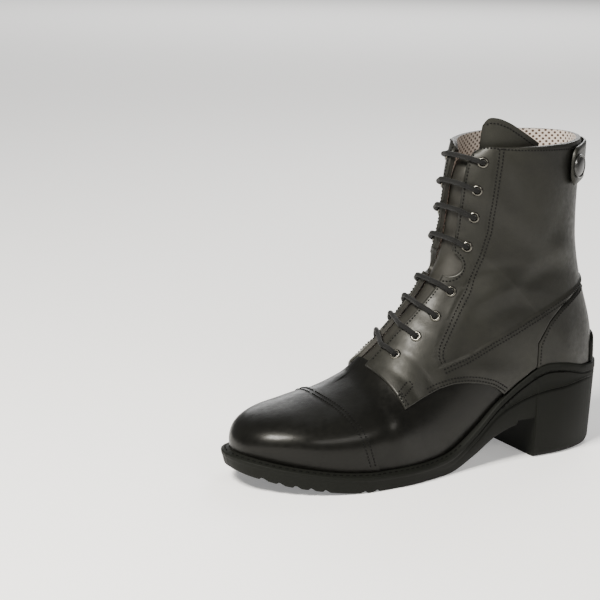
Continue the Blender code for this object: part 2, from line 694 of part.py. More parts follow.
def build_spur_rest(tree):
    turns = np.radians(np.linspace(-46.0, 46.0, 11))
    rows = 4
    inner = np.zeros((len(turns), rows, 3))
    outer = np.zeros_like(inner)
    centre = np.array([34.0, 0.0, 0.0])
    for i, turn in enumerate(turns):
        n = np.array([-math.cos(turn), math.sin(turn), 0.0])
        fade = 1.0 - abs(i - 5) / 5.0
        high = 77.0 - 5.0 * (1.0 - smooth(fade * 3.0))
        low = 58.0
        for j in range(rows):
            z = low + (high - low) * j / (rows - 1)
            hit = wall_hit(tree, centre, n, z)
            inner[i, j] = hit + n * (2 * PIECE_GAP + PANEL + 0.15)
            outer[i, j] = hit + n * (2 * PIECE_GAP + PANEL + 0.15 + (1.7 if j < rows - 1 else 1.0))
            low_edge = max(wing_edge(inner[i, j, 0], -1), wing_edge(inner[i, j, 0], 1))
            if j == 0:
                inner[i, j, 2] = low_edge + SEAT_GAP
                outer[i, j, 2] = low_edge + SEAT_GAP
    return shell("spur_rest", outer, inner, RUBBER)


# Top line of the tongue, from the outer side to the inner side, as a share of its rise.
TONGUE_AT = (-1.0, -0.5, 0.0, 0.4, 0.75, 0.9, 1.0)
TONGUE_TOP = (0.05, 0.42, 0.78, 0.97, 1.0, 0.92, 0.7)


def build_tongue():
    """Tongue under the facings, its rounded top standing above the collar on the outer side."""
    rows = [9.3] + [s for s in UPPER_ROWS if 10.0 < s < 28.0 and s not in (11.0, 18.5, 19.5)]
    across = np.linspace(-1.0, 1.0, 9)
    reach = 20.0
    outer = []
    inner = []
    deep = WALL + 1.3
    for s in rows:
        line = []
        under = []
        for c in across:
            grow = reach + 6.0 * smooth((s - 20.0) / 5.0) - 4.5 * smooth((s - 26.5) / 2.5)
            place = c * grow - 6.0 * smooth((s - 16.0) / 8.0) - 36.0 * smooth((s - 25.7) / 3.0)
            side = -1 if place < 0 else 1
            a = across_to_along(s, side, abs(place))
            back = deep + 4.0 * smooth((s - 24.0) / 5.0)
            line.append(panel_point(s, side, a, -back))
            under.append(panel_point(s, side, a, -back - TONGUE))
        outer.append(line)
        inner.append(under)
    outer = np.array(outer)
    inner = np.array(inner)
    last_out = outer[-1]
    last_in = inner[-1]
    for k in (0.33, 0.67, 1.0):
        more_out = []
        more_in = []
        for j, c in enumerate(across):
            tall = (COLLAR_Z + TONGUE_RISE * float(np.interp(c, TONGUE_AT, TONGUE_TOP)) - last_out[j][2])
            lean = np.array([-0.10, 0.0, 1.0])
            more_out.append(last_out[j] + lean * tall * k)
            more_in.append(last_in[j] + lean * tall * k)
        outer = np.concatenate([outer, np.array([more_out])])
        inner = np.concatenate([inner, np.array([more_in])])
    inner[-1, :, 2] -= 0.6
    return shell("tongue", outer, inner, LEATHER)


def across_to_along(s, side, reach):
    """Row place that lies a given half-girth from the ridge."""
    along, points = row_curve(s, side)
    steps = np.linalg.norm(np.diff(points, axis=0), axis=1)
    length = np.concatenate([[0.0], np.cumsum(steps)])
    back = length[-1] - length
    return float(np.interp(-reach, -back, along))


def frame_at(normal, lean):
    """Two directions across a normal, the first near lean."""
    a = unit(lean - normal * np.dot(lean, normal))
    return a, np.cross(normal, a)


def turned(name, centre, normal, profile, look, count, hollow=False):
    """Solid turned about a normal; profile lists radius and height."""
    a, b = frame_at(normal, np.array([0.0, 0.2, 1.0]))
    verts = []
    faces = []
    rings = len(profile)
    for r, h in profile:
        for k in range(count):
            turn = 2 * math.pi * k / count
            verts.append(centre + normal * h + (a * math.cos(turn) + b * math.sin(turn)) * r)
    loops = rings if hollow else rings - 1
    for i in range(loops):
        for k in range(count):
            p = i * count + k
            q = i * count + (k + 1) % count
            p2 = ((i + 1) % rings) * count + k
            q2 = ((i + 1) % rings) * count + (k + 1) % count
            faces.append((p, q, q2, p2))
    if not hollow:
        faces.append(tuple(range(count))[::-1])
        faces.append(tuple((rings - 1) * count + k for k in range(count)))
    return new_object(name, verts, faces, look, 40.0)


def eyelet_places():
    places = []
    for off, z in EYELETS:
        pair = []
        for side in (-1, 1):
            best = None
            for s in np.linspace(9.5, 28.8, 194):
                a = across_to_along(s, side, off)
                p = last_point(s, side, a)
                gap = abs(p[2] - z)
                if best is None or gap < best[0]:
                    best = (gap, s, a)
            pair.append((best[1], best[2]))
        places.append(pair)
    return places


def cut(obj, name, solids, operation="DIFFERENCE"):
    """Cut closed solids out of an object."""
    verts = []
    faces = []
    for v, f in solids:
        start = len(verts)
        verts += v
        faces += [tuple(k + start for k in face) for face in f]
    cutter = new_object(name, verts, faces, METAL)
    cutter.hide_render = True
    cutter.display_type = "WIRE"
    mod = obj.modifiers.new(name, "BOOLEAN")
    mod.operation = operation
    mod.solver = "EXACT"
    mod.object = cutter


def rod(centre, normal, radius, low, high, count):
    a, b = frame_at(normal, np.array([0.0, 0.2, 1.0]))
    verts = []
    for h in (low, high):
        for k in range(count):
            turn = 2 * math.pi * k / count
            verts.append(centre + normal * h + (a * math.cos(turn) + b * math.sin(turn)) * radius)
    faces = [tuple(range(count))[::-1], tuple(range(count, 2 * count))]
    for k in range(count):
        n = (k + 1) % count
        faces.append((k, n, count + n, count + k))
    return verts, faces


def tube(name, path, radius, look, count=6):
    """Round rod along a path."""
    path = np.array(path)
    tangents = np.gradient(path, axis=0)
    side = unit(np.cross(tangents[len(path) // 2], np.array([1.0, 0.0, 1.0])))
    verts = []
    for p, t in zip(path, tangents):
        t = unit(t)
        u = unit(side - t * np.dot(side, t))
        v = np.cross(t, u)
        for k in range(count):
            turn = 2 * math.pi * k / count
            verts.append(p + (u * math.cos(turn) + v * math.sin(turn)) * radius)
    faces = [tuple(range(count))[::-1], tuple((len(path) - 1) * count + k for k in range(count))]
    for i in range(len(path) - 1):
        for k in range(count):
            n = (k + 1) % count
            faces.append((i * count + k, i * count + n, (i + 1) * count + n, (i + 1) * count + k))
    return new_object(name, verts, faces, look, 60.0)


def notch(side):
    """Closed solid that cuts the flex notch through one facing."""
    near = min(np.linspace(14.0, 27.0, 261), key=lambda s: abs(last_point(s, side, 1.0)[2] - NOTCH_Z))
    centre = last_point(near, side, 1.0)
    normal = surface_normal(near, side, 0.95)
    along = unit(last_point(near + 0.5, side, 1.0) - last_point(near - 0.5, side, 1.0))
    along = unit(along - normal * np.dot(along, normal))
    inward = np.cross(normal, along)
    if np.dot(inward, last_point(near, side, 0.8) - centre) < 0:
        inward = -inward
    verts = []
    for h in (-WALL - 1.5, PIECE_GAP + PANEL + 3.0):
        for x, y in NOTCH:
            verts.append(centre + inward * x + along * y + normal * h)
    n = len(NOTCH)
    faces = [tuple(range(n)), tuple(range(2 * n - 1, n - 1, -1))]
    for k in range(n):
        m = (k + 1) % n
        faces.append((k, n + k, n + m, m))
    return verts, faces


def cut_tread(outsole):
    """Grooves across the tread."""
    bars = []
    for f in TREAD:
        s = row_at_foot(f - 3.0)
        r = sole_row(s)
        ahead = sole_row(row_at_foot(f))
        low = r["low_lat"]
        slope = (ahead["low_lat"] - low) / 3.0
        along = unit(np.array([1.0, 0.0, slope]))
        up = unit(np.array([-slope, 0.0, 1.0]))
        middle = np.array([f, 0.0, low + slope * 3.0])
        bars.append(rod_box(middle, along * 1.1, np.array([0.0, 70.0, 0.0]), up, -3.0, TREAD_DEPTH))
    cut(outsole, "grooves", bars)


def rod_box(middle, half_a, half_b, up, low, high):
    verts = []
    for h, narrow in ((low, 1.35), (high, 0.8)):
        for a, b in ((-1, -1), (1, -1), (1, 1), (-1, 1)):
            verts.append(middle + half_a * a * narrow + half_b * b + up * h)
    faces = [(0, 3, 2, 1), (4, 5, 6, 7), (0, 1, 5, 4), (1, 2, 6, 5), (2, 3, 7, 6), (3, 0, 4, 7)]
    return verts, faces


def build_eyelets_and_laces(upper, quarters):
    places = eyelet_places()
    rods = {-1: [], 1: []}
    skin = PIECE_GAP + PANEL
    for number, pair in enumerate(places, start=1):
        path = []
        for side, (s, a) in zip((-1, 1), pair):
            centre = last_point(s, side, a)
            normal = surface_normal(s, side, a)
            flange = skin + SEAT_GAP
            profile = [(EYELET_BORE, -WALL - 0.2), (EYELET_BARREL, -WALL - 0.2),
                       (EYELET_BARREL, flange), (EYELET_FLANGE, flange),
                       (EYELET_BORE + 0.5, flange + FLANGE_HEIGHT)]
            where = "outer" if side < 0 else "inner"
            turned("eyelet_%s_%d" % (where, number), centre, normal, profile[::-1], METAL, 8, True)
            rods[side].append(rod(centre, normal, EYELET_HOLE, -WALL - 2.0, skin + 2.0, 8))
            top = flange + FLANGE_HEIGHT + SEAT_GAP + LACE_RADIUS + 0.3
            half = []
            for k in (0.0, 0.5, 1.0):
                along = a + (1.0 - a) * k
                lift = top + (skin + SEAT_GAP + LACE_RADIUS + 0.25 - top) * k
                half.append(panel_point(s, side, along, lift))
            path += half if side < 0 else half[::-1]
        path = path[:3] + [0.5 * (path[2] + path[3])] + path[3:]
        tube("lace_bar_%d" % number, path, LACE_RADIUS, CORD)
    for side, quarter in quarters.items():
        where = "outer" if side < 0 else "inner"
        rods[side].append(notch(side))
        cut(upper, "holes_upper_" + where, rods[side])
        cut(quarter, "holes_quarter_" + where, rods[side])


def strap_point(tree, turn, z, off):
    middle = np.array([62.0, 0.0, z])
    n = np.array([math.cos(turn), math.sin(turn), 0.0])
    hit = tree.ray_cast(Vector(middle + n * 120.0), Vector(-n), 160.0)
    return np.array(hit[0]) + n * off, n


def build_strap(tree):
    """Strap over the zip: sewn on the inner side, snapped on the outer side."""
    turns = np.radians(np.linspace(128.0, 238.0, 21))
    across = (-1.0, 0.0, 1.0)
    mid = 0.5 * (STRAP_LOW + STRAP_HIGH)
    half = 0.5 * (STRAP_HIGH - STRAP_LOW)
    skin = PIECE_GAP + PANEL + 0.4
    inner = np.zeros((len(turns), len(across), 3))
    outer = np.zeros_like(inner)
    for i, turn in enumerate(turns):
        around = np.degrees(turn) - 180.0
        end = min(i, len(turns) - 1 - i) * 6.0
        shape = math.sqrt(max(1.0 - max(1.0 - end / 13.0, 0.0) ** 2, 0.0))
        tall = half * (0.35 + 0.65 * shape)
        off = skin + STRAP_STAND * math.exp(-(((around + 15.0) / 26.0) ** 2) ** 1.5)
        if around > 30.0:
            off += 1.4 * smooth((around - 30.0) / 25.0)
        for j, c in enumerate(across):
            z = mid + c * tall
            inner[i, j], n = strap_point(tree, turn, z, off)
            outer[i, j], n = strap_point(tree, turn, z, off + STRAP_THICK)
    strap = shell("strap", outer, inner, LEATHER)
    turn = math.radians(180.0 + 47.0)
    off = skin + 1.4 * smooth(17.0 / 25.0) + STRAP_THICK
    centre, n = strap_point(tree, turn, mid, off + SEAT_GAP + 0.25)
    ahead = strap_point(tree, turn + 0.1, mid, off)[0]
    behind = strap_point(tree, turn - 0.1, mid, off)[0]
    across_dir = unit(ahead - behind)
    normal = unit(np.cross(across_dir, np.array([0.0, 0.0, 1.0])))
    if np.dot(normal, n) < 0:
        normal = -normal
    r = BUTTON_RADIUS
    turned("snap_button", centre, normal, [(r, 0.0), (r, 1.4), (r * 0.8, 2.3)], METAL, 14)
    return strap


def back_point(tree, z, y, off):
    """Point over the back of the shaft, y off its middle line."""
    middle = zip_middle(z)
    hit = tree.ray_cast(Vector((-40.0, middle + y, z)), Vector((1.0, 0.0, 0.0)), 100.0)
    lean = y / 34.0
    n = unit(np.array([-math.sqrt(max(1 - lean**2, 0.1)), lean, 0.0]))
    return np.array(hit[0]) + n * off


def build_zip(tree):
    heights = (ZIP_BOTTOM + 3.0, 127.0, 138.0, 149.0, 165.0, 181.5, 196.0, COLLAR_Z - 3.0)
    for name, low, high, thick in (("zip_tape_outer", -11.6, -2.7, 0.9), ("zip_tape_inner", 2.7, 11.6, 0.9),
                                   ("zip_teeth", -2.3, 2.3, 1.5)):
        across = np.linspace(low, high, 4)
        inner = np.zeros((len(heights), len(across), 3))
        outer = np.zeros_like(inner)
        for i, z in enumerate(heights):
            for j, y in enumerate(across):
                squeeze = 1.0
                if i == 0 and name != "zip_teeth":
                    squeeze = 0.62
                yy = low + (y - low) * squeeze if low > 0 else high + (y - high) * squeeze
                if name == "zip_teeth":
                    yy = y
                inner[i, j] = back_point(tree, z, yy, PIECE_GAP + 0.3)
                outer[i, j] = back_point(tree, z, yy, PIECE_GAP + 0.3 + thick)
        shell(name, outer, inner, METAL if name == "zip_teeth" else CORD)
    low = PIECE_GAP + 1.8 + SEAT_GAP
    slab(tree, "zip_slider", 211.0, 204.5, 4.0, 3.4, low, low + 1.7)
    slab(tree, "zip_pull", 203.6, 178.0, 2.6, 3.2, low + 0.2, low + 1.4)


def slab(tree, name, high, low, half_high, half_low, near, far):
    verts = []
    for z, half in ((low, half_low), (high, half_high)):
        mid = back_point(tree, z, 0.01, 0.0)
        for off in (near, far):
            for c in (-1.0, 1.0):
                p = mid + np.array([-off, 0.0, 0.0])
                p[1] += c * half
                p[2] = z
                verts.append(p)
    faces = [(0, 1, 3, 2), (4, 6, 7, 5), (0, 4, 5, 1), (2, 3, 7, 6), (0, 2, 6, 4), (1, 5, 7, 3)]
    return new_object(name, verts, faces, METAL)


def centre_pieces():
    """Put the origin under the middle of the boot."""
    pieces = [obj for obj in bpy.data.objects if not obj.hide_render]
    corners = np.array([v.co for obj in pieces for v in obj.data.vertices])
    middle = 0.5 * (corners.min(axis=0) + corners.max(axis=0))
    for obj in bpy.data.objects:
        obj.data.transform(Matrix.Translation((-middle[0], -middle[1], 0.0)))


bpy.context.scene.unit_settings.system = "METRIC"
for old in list(bpy.data.objects):
    bpy.data.objects.remove(old, do_unlink=True)

grid = upper_grid()
upper, upper_tree = build_upper(grid)
outsole = build_sole(upper_tree)
build_insole()
quarters = {-1: build_quarter("quarter_outer", grid, -1), 1: build_quarter("quarter_inner", grid, 1)}
cut_tread(outsole)
build_counter(grid)
build_spur_rest(upper_tree)
build_tongue()
build_eyelets_and_laces(upper, quarters)
build_strap(upper_tree)
build_zip(upper_tree)
centre_pieces()
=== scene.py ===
import math

import bmesh
import bpy
import numpy as np
from mathutils import Matrix, Vector
from mathutils.bvhtree import BVHTree


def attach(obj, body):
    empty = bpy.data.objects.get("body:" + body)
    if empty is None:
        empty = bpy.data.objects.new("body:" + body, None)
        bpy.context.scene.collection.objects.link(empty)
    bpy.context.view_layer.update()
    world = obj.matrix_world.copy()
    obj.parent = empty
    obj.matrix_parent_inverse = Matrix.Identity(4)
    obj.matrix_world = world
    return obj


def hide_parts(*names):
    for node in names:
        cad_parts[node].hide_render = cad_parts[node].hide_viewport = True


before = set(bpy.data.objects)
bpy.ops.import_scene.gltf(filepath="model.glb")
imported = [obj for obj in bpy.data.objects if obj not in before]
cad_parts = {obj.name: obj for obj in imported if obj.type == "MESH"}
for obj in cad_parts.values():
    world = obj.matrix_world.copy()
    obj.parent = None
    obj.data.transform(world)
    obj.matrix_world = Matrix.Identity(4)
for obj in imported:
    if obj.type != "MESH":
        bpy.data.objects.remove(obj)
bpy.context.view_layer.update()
print("frame loaded")

# Left paddock boot.  Sizes are in millimetres: f forward from the back of the
# sole, y sideways with the inner side positive, z up.  side is -1 on the outer
# side of the foot and 1 on the inner side.
mm = 0.001
originForward = 140.3
originSide = -1.486
wall = 2.2
panel = 1.2
panelGap = 0.35
capStep = 1.2
collarHeight = 213.0
cornerDrop = 4.5
# The shaft turns and leans above the ankle, about an upright line shaftCentre from the back.
shaftTwist = 12.0
shaftLean = 5.0
shaftCentre = 62.0
twistLow = 60.0
twistRise = 90.0
zipHalf = 13.0
zipFoot = 114.0
heelBreast = 66.0
heelRow = 20
capRow = 7.0
throatRow = 9.9
frontRow = 9.55
collarRow = 29

# One row of the last for each section, toe tip first; see rowPath for the use.
rowNames = ("footF", "footZ", "topF", "topZ", "lat", "med", "wideLat", "wideMed", "belly", "round", "mid")
lastRows = (
    (273.3, 19.6, 273.7, 23.0, -4.0, 4.0, -4.0, 4.0, 0.4, 2.2, 4.0),
    (272.0, 19.3, 273.4, 29.2, 3.0, 9.6, 4.0, 10.4, 0.4, 2.2, 4.0),
    (268.0, 18.5, 271.2, 33.8, 10.8, 16.8, 11.8, 17.8, 0.4, 2.3, 4.2),
    (261.0, 17.1, 265.8, 39.2, 19.0, 24.2, 20.5, 25.7, 0.4, 2.4, 4.5),
    (250.8, 14.9, 256.8, 43.4, 27.2, 31.4, 29.0, 33.0, 0.38, 2.5, 5.2),
    (237.5, 12.6, 244.5, 46.6, 35.0, 37.6, 37.0, 39.2, 0.38, 2.5, 6.0),
    (222.0, 10.2, 228.0, 49.6, 40.6, 40.3, 42.4, 41.9, 0.38, 2.4, 7.0),
    (205.0, 8.6, 210.5, 53.2, 44.2, 41.1, 46.0, 42.6, 0.38, 2.3, 8.6),
    (188.0, 8.0, 195.5, 57.6, 45.3, 39.4, 46.8, 40.8, 0.36, 2.35, 11.0),
    (171.0, 8.0, 183.0, 63.2, 44.6, 36.6, 46.0, 38.2, 0.34, 2.3, 13.0),
    (153.0, 8.4, 174.0, 72.3, 41.2, 33.2, 43.0, 35.2, 0.32, 2.25, 13.0),
    (134.5, 11.0, 166.0, 81.5, 37.0, 30.6, 40.0, 33.4, 0.3, 2.2, 12.0),
    (116.0, 18.5, 158.0, 91.5, 33.6, 29.2, 38.3, 33.0, 0.3, 2.1, 10.5),
    (98.0, 27.0, 150.0, 101.3, 31.2, 28.6, 37.0, 33.4, 0.32, 2.05, 9.0),
    (80.0, 33.0, 142.3, 111.5, 30.2, 28.8, 36.2, 33.8, 0.36, 2.0, 7.5),
    (61.0, 36.0, 135.5, 121.0, 29.6, 28.8, 35.2, 34.2, 0.4, 2.0, 6.4),
    (42.0, 37.0, 130.8, 131.0, 29.6, 28.6, 35.2, 34.2, 0.44, 2.0, 5.3),
    (24.0, 37.0, 128.0, 139.0, 27.4, 26.2, 35.2, 34.2, 0.46, 2.0, 4.8),
    (11.5, 37.0, 126.3, 145.0, 21.0, 20.0, 35.2, 34.2, 0.47, 2.0, 4.3),
    (5.6, 37.0, 125.3, 150.0, 11.5, 11.0, 35.2, 34.2, 0.47, 2.0, 3.8),
    (4.2, 37.0, 124.6, 154.5, 0.0, 0.0, 35.2, 34.2, 0.47, 2.0, 3.3),
    (3.6, 52.0, 123.7, 161.5, 0.0, 0.0, 34.5, 33.6, 0.46, 2.0, 2.8),
    (3.6, 68.0, 122.9, 169.5, 0.0, 0.0, 34.2, 33.4, 0.45, 2.0, 2.3),
    (4.4, 86.0, 121.9, 178.5, 0.0, 0.0, 34.2, 33.4, 0.45, 2.0, 1.8),
    (8.0, 106.0, 120.7, 187.5, 0.0, 0.0, 35.4, 33.4, 0.45, 2.0, 1.2),
    (12.2, 127.0, 119.2, 195.5, 0.0, 0.0, 35.6, 33.6, 0.45, 2.0, 0.8),
    (14.4, 149.0, 117.5, 202.0, 0.0, 0.0, 36.0, 34.0, 0.45, 2.0, 0.4),
    (14.6, 171.0, 115.6, 207.0, 0.0, 0.0, 36.4, 34.4, 0.46, 2.0, 0.0),
    (14.2, 192.0, 113.7, 210.6, 0.0, 0.0, 36.6, 34.6, 0.47, 2.0, 0.0),
    (14.0, 213.0, 111.8, 213.0, 0.0, 0.0, 36.8, 34.8, 0.48, 2.0, 0.0),
)
# Half-width of the opening between the facings, by row.
facingRows = ((0.0, 10.0), (10.0, 10.0), (16.0, 9.0), (21.0, 8.0), (26.0, 7.5), (29.0, 8.5))
# Keyhole notch in each facing edge.
notch = {"z": 137.0, "half": 6.6, "deep": 8.6}

soleNames = ("row", "ledge", "rise", "lipLat", "lipMed", "lowLat", "lowMed", "tuck", "groove", "rib", "step")
soleRows = (
    (0.0, 5.4, 1.5, 21.8, 21.8, 12.5, 12.5, 2.5, 3.0, 6.0, 0.0),
    (1.0, 5.4, 1.5, 21.6, 21.6, 11.9, 11.9, 2.5, 3.0, 6.0, 0.0),
    (2.0, 5.4, 1.5, 20.8, 20.8, 10.4, 10.4, 2.5, 3.0, 6.0, 0.0),
    (3.0, 5.4, 1.5, 19.3, 19.3, 8.6, 8.6, 2.3, 3.0, 6.0, 0.0),
    (4.0, 5.4, 1.5, 17.2, 17.2, 6.0, 6.0, 2.0, 3.0, 6.0, 0.0),
    (5.0, 5.4, 1.5, 15.1, 15.1, 3.8, 3.8, 1.8, 3.0, 6.0, 0.0),
    (6.0, 5.4, 1.5, 12.6, 12.6, 1.4, 1.4, 1.6, 3.0, 6.0, 0.0),
    (7.0, 5.4, 1.5, 11.0, 11.2, 0.0, 0.0, 1.5, 3.0, 6.0, 0.0),
    (8.0, 5.4, 1.5, 10.4, 11.0, 0.0, 0.0, 1.5, 3.0, 6.0, 0.0),
    (9.0, 5.4, 1.5, 10.3, 12.0, 0.0, 0.0, 1.5, 3.0, 6.0, 0.0),
    (10.0, 5.2, 1.3, 10.8, 16.0, 0.0, 1.5, 1.6, 3.0, 6.0, 0.0),
    (11.0, 4.4, 1.0, 14.5, 24.5, 1.0, 6.0, 1.8, 3.4, 6.5, 0.1),
    (12.0, 3.6, 0.6, 27.0, 37.5, 8.6, 14.0, 2.2, 3.8, 8.0, 0.4),
    (13.0, 3.1, 0.3, 43.0, 48.0, 19.2, 19.8, 2.4, 4.2, 9.0, 0.7),
    (14.0, 2.9, 0.2, 55.0, 55.0, 24.9, 25.0, 2.4, 4.6, 13.0, 0.8),
    (15.0, 2.8, 0.0, 64.0, 60.5, 28.0, 28.0, 1.5, 5.0, 17.5, 0.8),
    (16.0, 2.8, 0.0, 63.2, 60.5, 0.0, 0.0, 1.2, 5.0, 15.5, 0.8),
    (17.0, 2.8, 0.0, 58.6, 58.0, 0.0, 0.0, 1.6, 5.0, 9.5, 0.6),
    (18.0, 2.8, 0.0, 57.2, 57.0, 0.0, 0.0, 2.2, 5.0, 9.0, 0.3),
    (19.0, 2.8, 0.0, 57.0, 57.0, 0.0, 0.0, 4.0, 5.0, 9.0, 0.0),
    (20.0, 2.8, 0.0, 57.0, 57.0, 0.0, 0.0, 5.8, 5.0, 9.0, 0.0),
)
# Seams as forward and height.
vampCurve = ((60.0, 15.0), (88.0, 43.0), (95.0, 50.0), (104.0, 55.5), (114.0, 58.5), (124.0, 60.0),
             (134.0, 60.0), (144.0, 58.0), (153.0, 55.0), (173.0, 48.0), (200.0, 38.0))
counterFront = 66.5
counterCurve = ((-20.0, 110.0), (4.0, 110.0), (10.0, 112.0), (18.0, 112.5), (32.0, 108.5),
                (45.5, 102.0), (57.0, 93.0), (66.5, 80.0))
eyestayLine = ((98.5, 216.0), (100.0, 205.0), (101.5, 194.0), (103.5, 178.0), (105.5, 158.0), (111.0, 141.0),
               (120.0, 120.0), (133.0, 99.0), (142.0, 84.0), (143.5, 77.0), (141.0, 71.5))
diagonalLine = ((141.0, 71.5), (124.0, 77.0), (103.5, 85.6), (73.5, 98.0), (48.0, 107.5), (23.0, 115.0),
                (0.0, 121.0))
# Eyelets as distance from the ridge and height, top pair first.
eyeletPlaces = ((17.4, 203.0), (18.2, 185.0), (19.2, 167.0), (18.2, 147.5),
                (19.6, 118.2), (22.2, 102.3), (23.0, 89.2), (23.0, 77.5))
# Tread grooves across the forefoot, by their forward place.
treadGrooves = (266.0, 257.5, 249.0, 240.5, 232.0, 207.0, 198.5)
# Soft folds and hollows in the leather: place, slant in degrees from forward,
# half-length, half-width and depth; a negative depth is a swelling, and side 0
# stands for both sides.  Each one arches a little, and a faint ripple runs over all.
creaseNames = ("f", "z", "slant", "long", "wide", "deep", "side")
creases = (
    (152.0, 70.0, 62.0, 22.0, 4.0, 0.7, 0), (163.0, 57.0, 70.0, 20.0, 3.5, 0.5, 0),
    (187.0, 50.0, 80.0, 24.0, 5.0, 0.45, -1), (179.0, 40.0, 76.0, 20.0, 5.0, -0.5, 0),
    (112.0, 128.0, -28.0, 26.0, 5.0, 1.0, 0), (104.0, 116.0, -22.0, 30.0, 5.5, -0.9, 0),
    (98.0, 104.0, -18.0, 32.0, 6.0, 0.8, 0), (60.0, 128.0, -12.0, 26.0, 7.0, 0.8, 0),
    (52.0, 142.0, -8.0, 24.0, 8.0, -0.8, 0), (70.0, 165.0, 82.0, 34.0, 12.0, -0.7, 0),
    (90.0, 180.0, 84.0, 30.0, 7.0, 0.6, -1), (45.0, 180.0, 86.0, 34.0, 9.0, 0.6, 0),
    (110.0, 66.0, 12.0, 24.0, 6.0, -0.6, 0), (128.0, 66.0, 18.0, 20.0, 5.0, 0.45, 0),
    (84.0, 62.0, 24.0, 20.0, 7.0, -0.6, 0), (40.0, 84.0, 80.0, 16.0, 8.0, -0.6, 0),
    (118.0, 160.0, 80.0, 8.0, 5.0, 0.7, 0), (116.0, 178.0, 80.0, 8.0, 5.0, 0.7, 0),
    (133.0, 108.0, 60.0, 8.0, 5.0, 0.7, 0), (145.0, 94.0, 50.0, 8.0, 5.0, 0.7, 0))
creaseBend = 0.012
rippleDepth = 0.12


def ease(x):
    x = np.clip(x, 0.0, 1.0)
    return x * x * (3.0 - 2.0 * x)


def unit(v):
    return v / np.maximum(np.linalg.norm(v, axis=-1, keepdims=True), 1e-9)


def evenOut(values, times):
    for _ in range(times):
        values[1:-1] = 0.25 * values[:-2] + 0.5 * values[1:-1] + 0.25 * values[2:]
    return values


# Length along a path at each of its points.
def pathLength(points):
    return np.concatenate([[0.0], np.cumsum(np.linalg.norm(np.diff(points, axis=0), axis=1))])


# Smooth value between the rows of a table.
def blendRows(table, s):
    i = int(min(max(math.floor(s), 0), len(table) - 2))
    u = s - i
    p1, p2 = table[i], table[i + 1]
    p0 = table[i - 1] if i > 0 else 2.0 * p1 - p2
    p3 = table[i + 2] if i + 2 < len(table) else 2.0 * p2 - p1
    m1, m2 = 0.5 * (p2 - p0), 0.5 * (p3 - p1)
    return ((2 * u**3 - 3 * u**2 + 1) * p1 + (3 * u**2 - 2 * u**3) * p2
            + (u**3 - 2 * u**2 + u) * m1 + (u**3 - u**2) * m2)


lastTable = np.array(lastRows)
soleTable = np.array(soleRows)


def lastValues(s):
    if s <= heelRow:
        return blendRows(lastTable[:heelRow + 1], s)
    return blendRows(lastTable[heelRow:], s - heelRow)


def soleRow(s):
    return dict(zip(soleNames, blendRows(soleTable, s)))


def settle(points):
    k = ease((points[:, 2] - twistLow) / twistRise)
    turn = np.radians(shaftTwist) * k
    f = points[:, 0] - shaftCentre
    y = points[:, 1]
    out = points.copy()
    out[:, 0] = shaftCentre + f * np.cos(turn) + y * np.sin(turn)
    out[:, 1] = y * np.cos(turn) - f * np.sin(turn) + shaftLean * k
    return out


notchRows = []
rowStore = {}


# One section line of the last: from the foot end over the widest place to the ridge.
# The second result runs 0 at the foot end, 1 at the facing edge and 2 at the ridge.
def rowPath(s, side):
    key = (round(float(s), 5), side)
    if key in rowStore:
        return rowStore[key]
    r = dict(zip(rowNames, lastValues(s)))
    foot = r["lat"] if side < 0 else r["med"]
    wide = r["wideLat"] if side < 0 else r["wideMed"]
    mid = -side * r["mid"]
    half = wide + mid
    openBack = min(max(1.0 - foot / wide, 0.0), 1.0) if wide > 0.1 else 1.0
    facing = np.array(facingRows)
    opening = float(np.interp(s, facing[:, 0], facing[:, 1]))
    if notchRows:
        off = (s - notchRows[0]) / notchRows[1]
        opening += notch["deep"] * max(1.0 - off**2, 0.0) ** 0.5
    edge = min(opening / max(half, 0.01), 0.999)
    edgeTurn = math.acos(min(edge ** (r["round"] / 2.0), 1.0))
    pinch = 1.0 + 0.3 * ease((s - 22.0) / 2.0) - 0.15 * ease((s - 26.0) / 3.0)
    rise = np.linspace(0.0, math.pi / 2, 40)
    tau = 1.0 - np.cos(rise)
    swell = openBack * np.sin(rise) ** pinch + (1 - openBack) * np.sin(math.pi / 2 * tau)
    turns = np.concatenate([np.linspace(0.0, edgeTurn, 60)[1:], np.linspace(edgeTurn, math.pi / 2, 24)[1:]])
    power = 2.0 / r["round"]
    t = np.concatenate([r["belly"] * tau, r["belly"] + (1 - r["belly"]) * np.sin(turns) ** power])
    w = np.concatenate([foot + (wide - foot) * swell, half * np.maximum(np.cos(turns), 0.0) ** power - mid])
    f = r["footF"] + (r["topF"] - r["footF"]) * t
    z = r["footZ"] + (r["topZ"] - r["footZ"]) * t
    points = settle(np.stack([f, side * w, z], axis=1))
    length = pathLength(points)
    atEdge = length[98]
    along = np.where(length <= atEdge, length / max(atEdge, 1e-6),
                     1.0 + (length - atEdge) / max(length[-1] - atEdge, 1e-6))
    corner = ease((s - 26.5) / 2.5)
    points[:, 2] -= cornerDrop * corner * np.clip((along - 0.9) / 0.1, 0.0, 1.0) ** 2
    rowStore[key] = (along, points, length)
    return rowStore[key]


# Point of the last, or points where alongs is an array, on the row s.
def lastPoint(s, side, alongs):
    along, points, _ = rowPath(s, side)
    return np.stack([np.interp(alongs, along, points[:, k]) for k in range(3)], axis=-1)


# Place along a row that lies a given distance over the surface from the ridge.
def fromRidge(s, side, reach):
    along, _, length = rowPath(s, side)
    return float(np.interp(length[-1] - reach, length, along))


def outward(s, side, a):
    s0, s1 = max(s - 0.12, 0.0), min(s + 0.12, collarRow)
    a0, a1 = max(a - 0.02, 0.0), min(a + 0.02, 2.0)
    du = lastPoint(s1, side, a) - lastPoint(s0, side, a)
    dv = lastPoint(s, side, a1) - lastPoint(s, side, a0)
    return unit(np.cross(du, dv)) * side


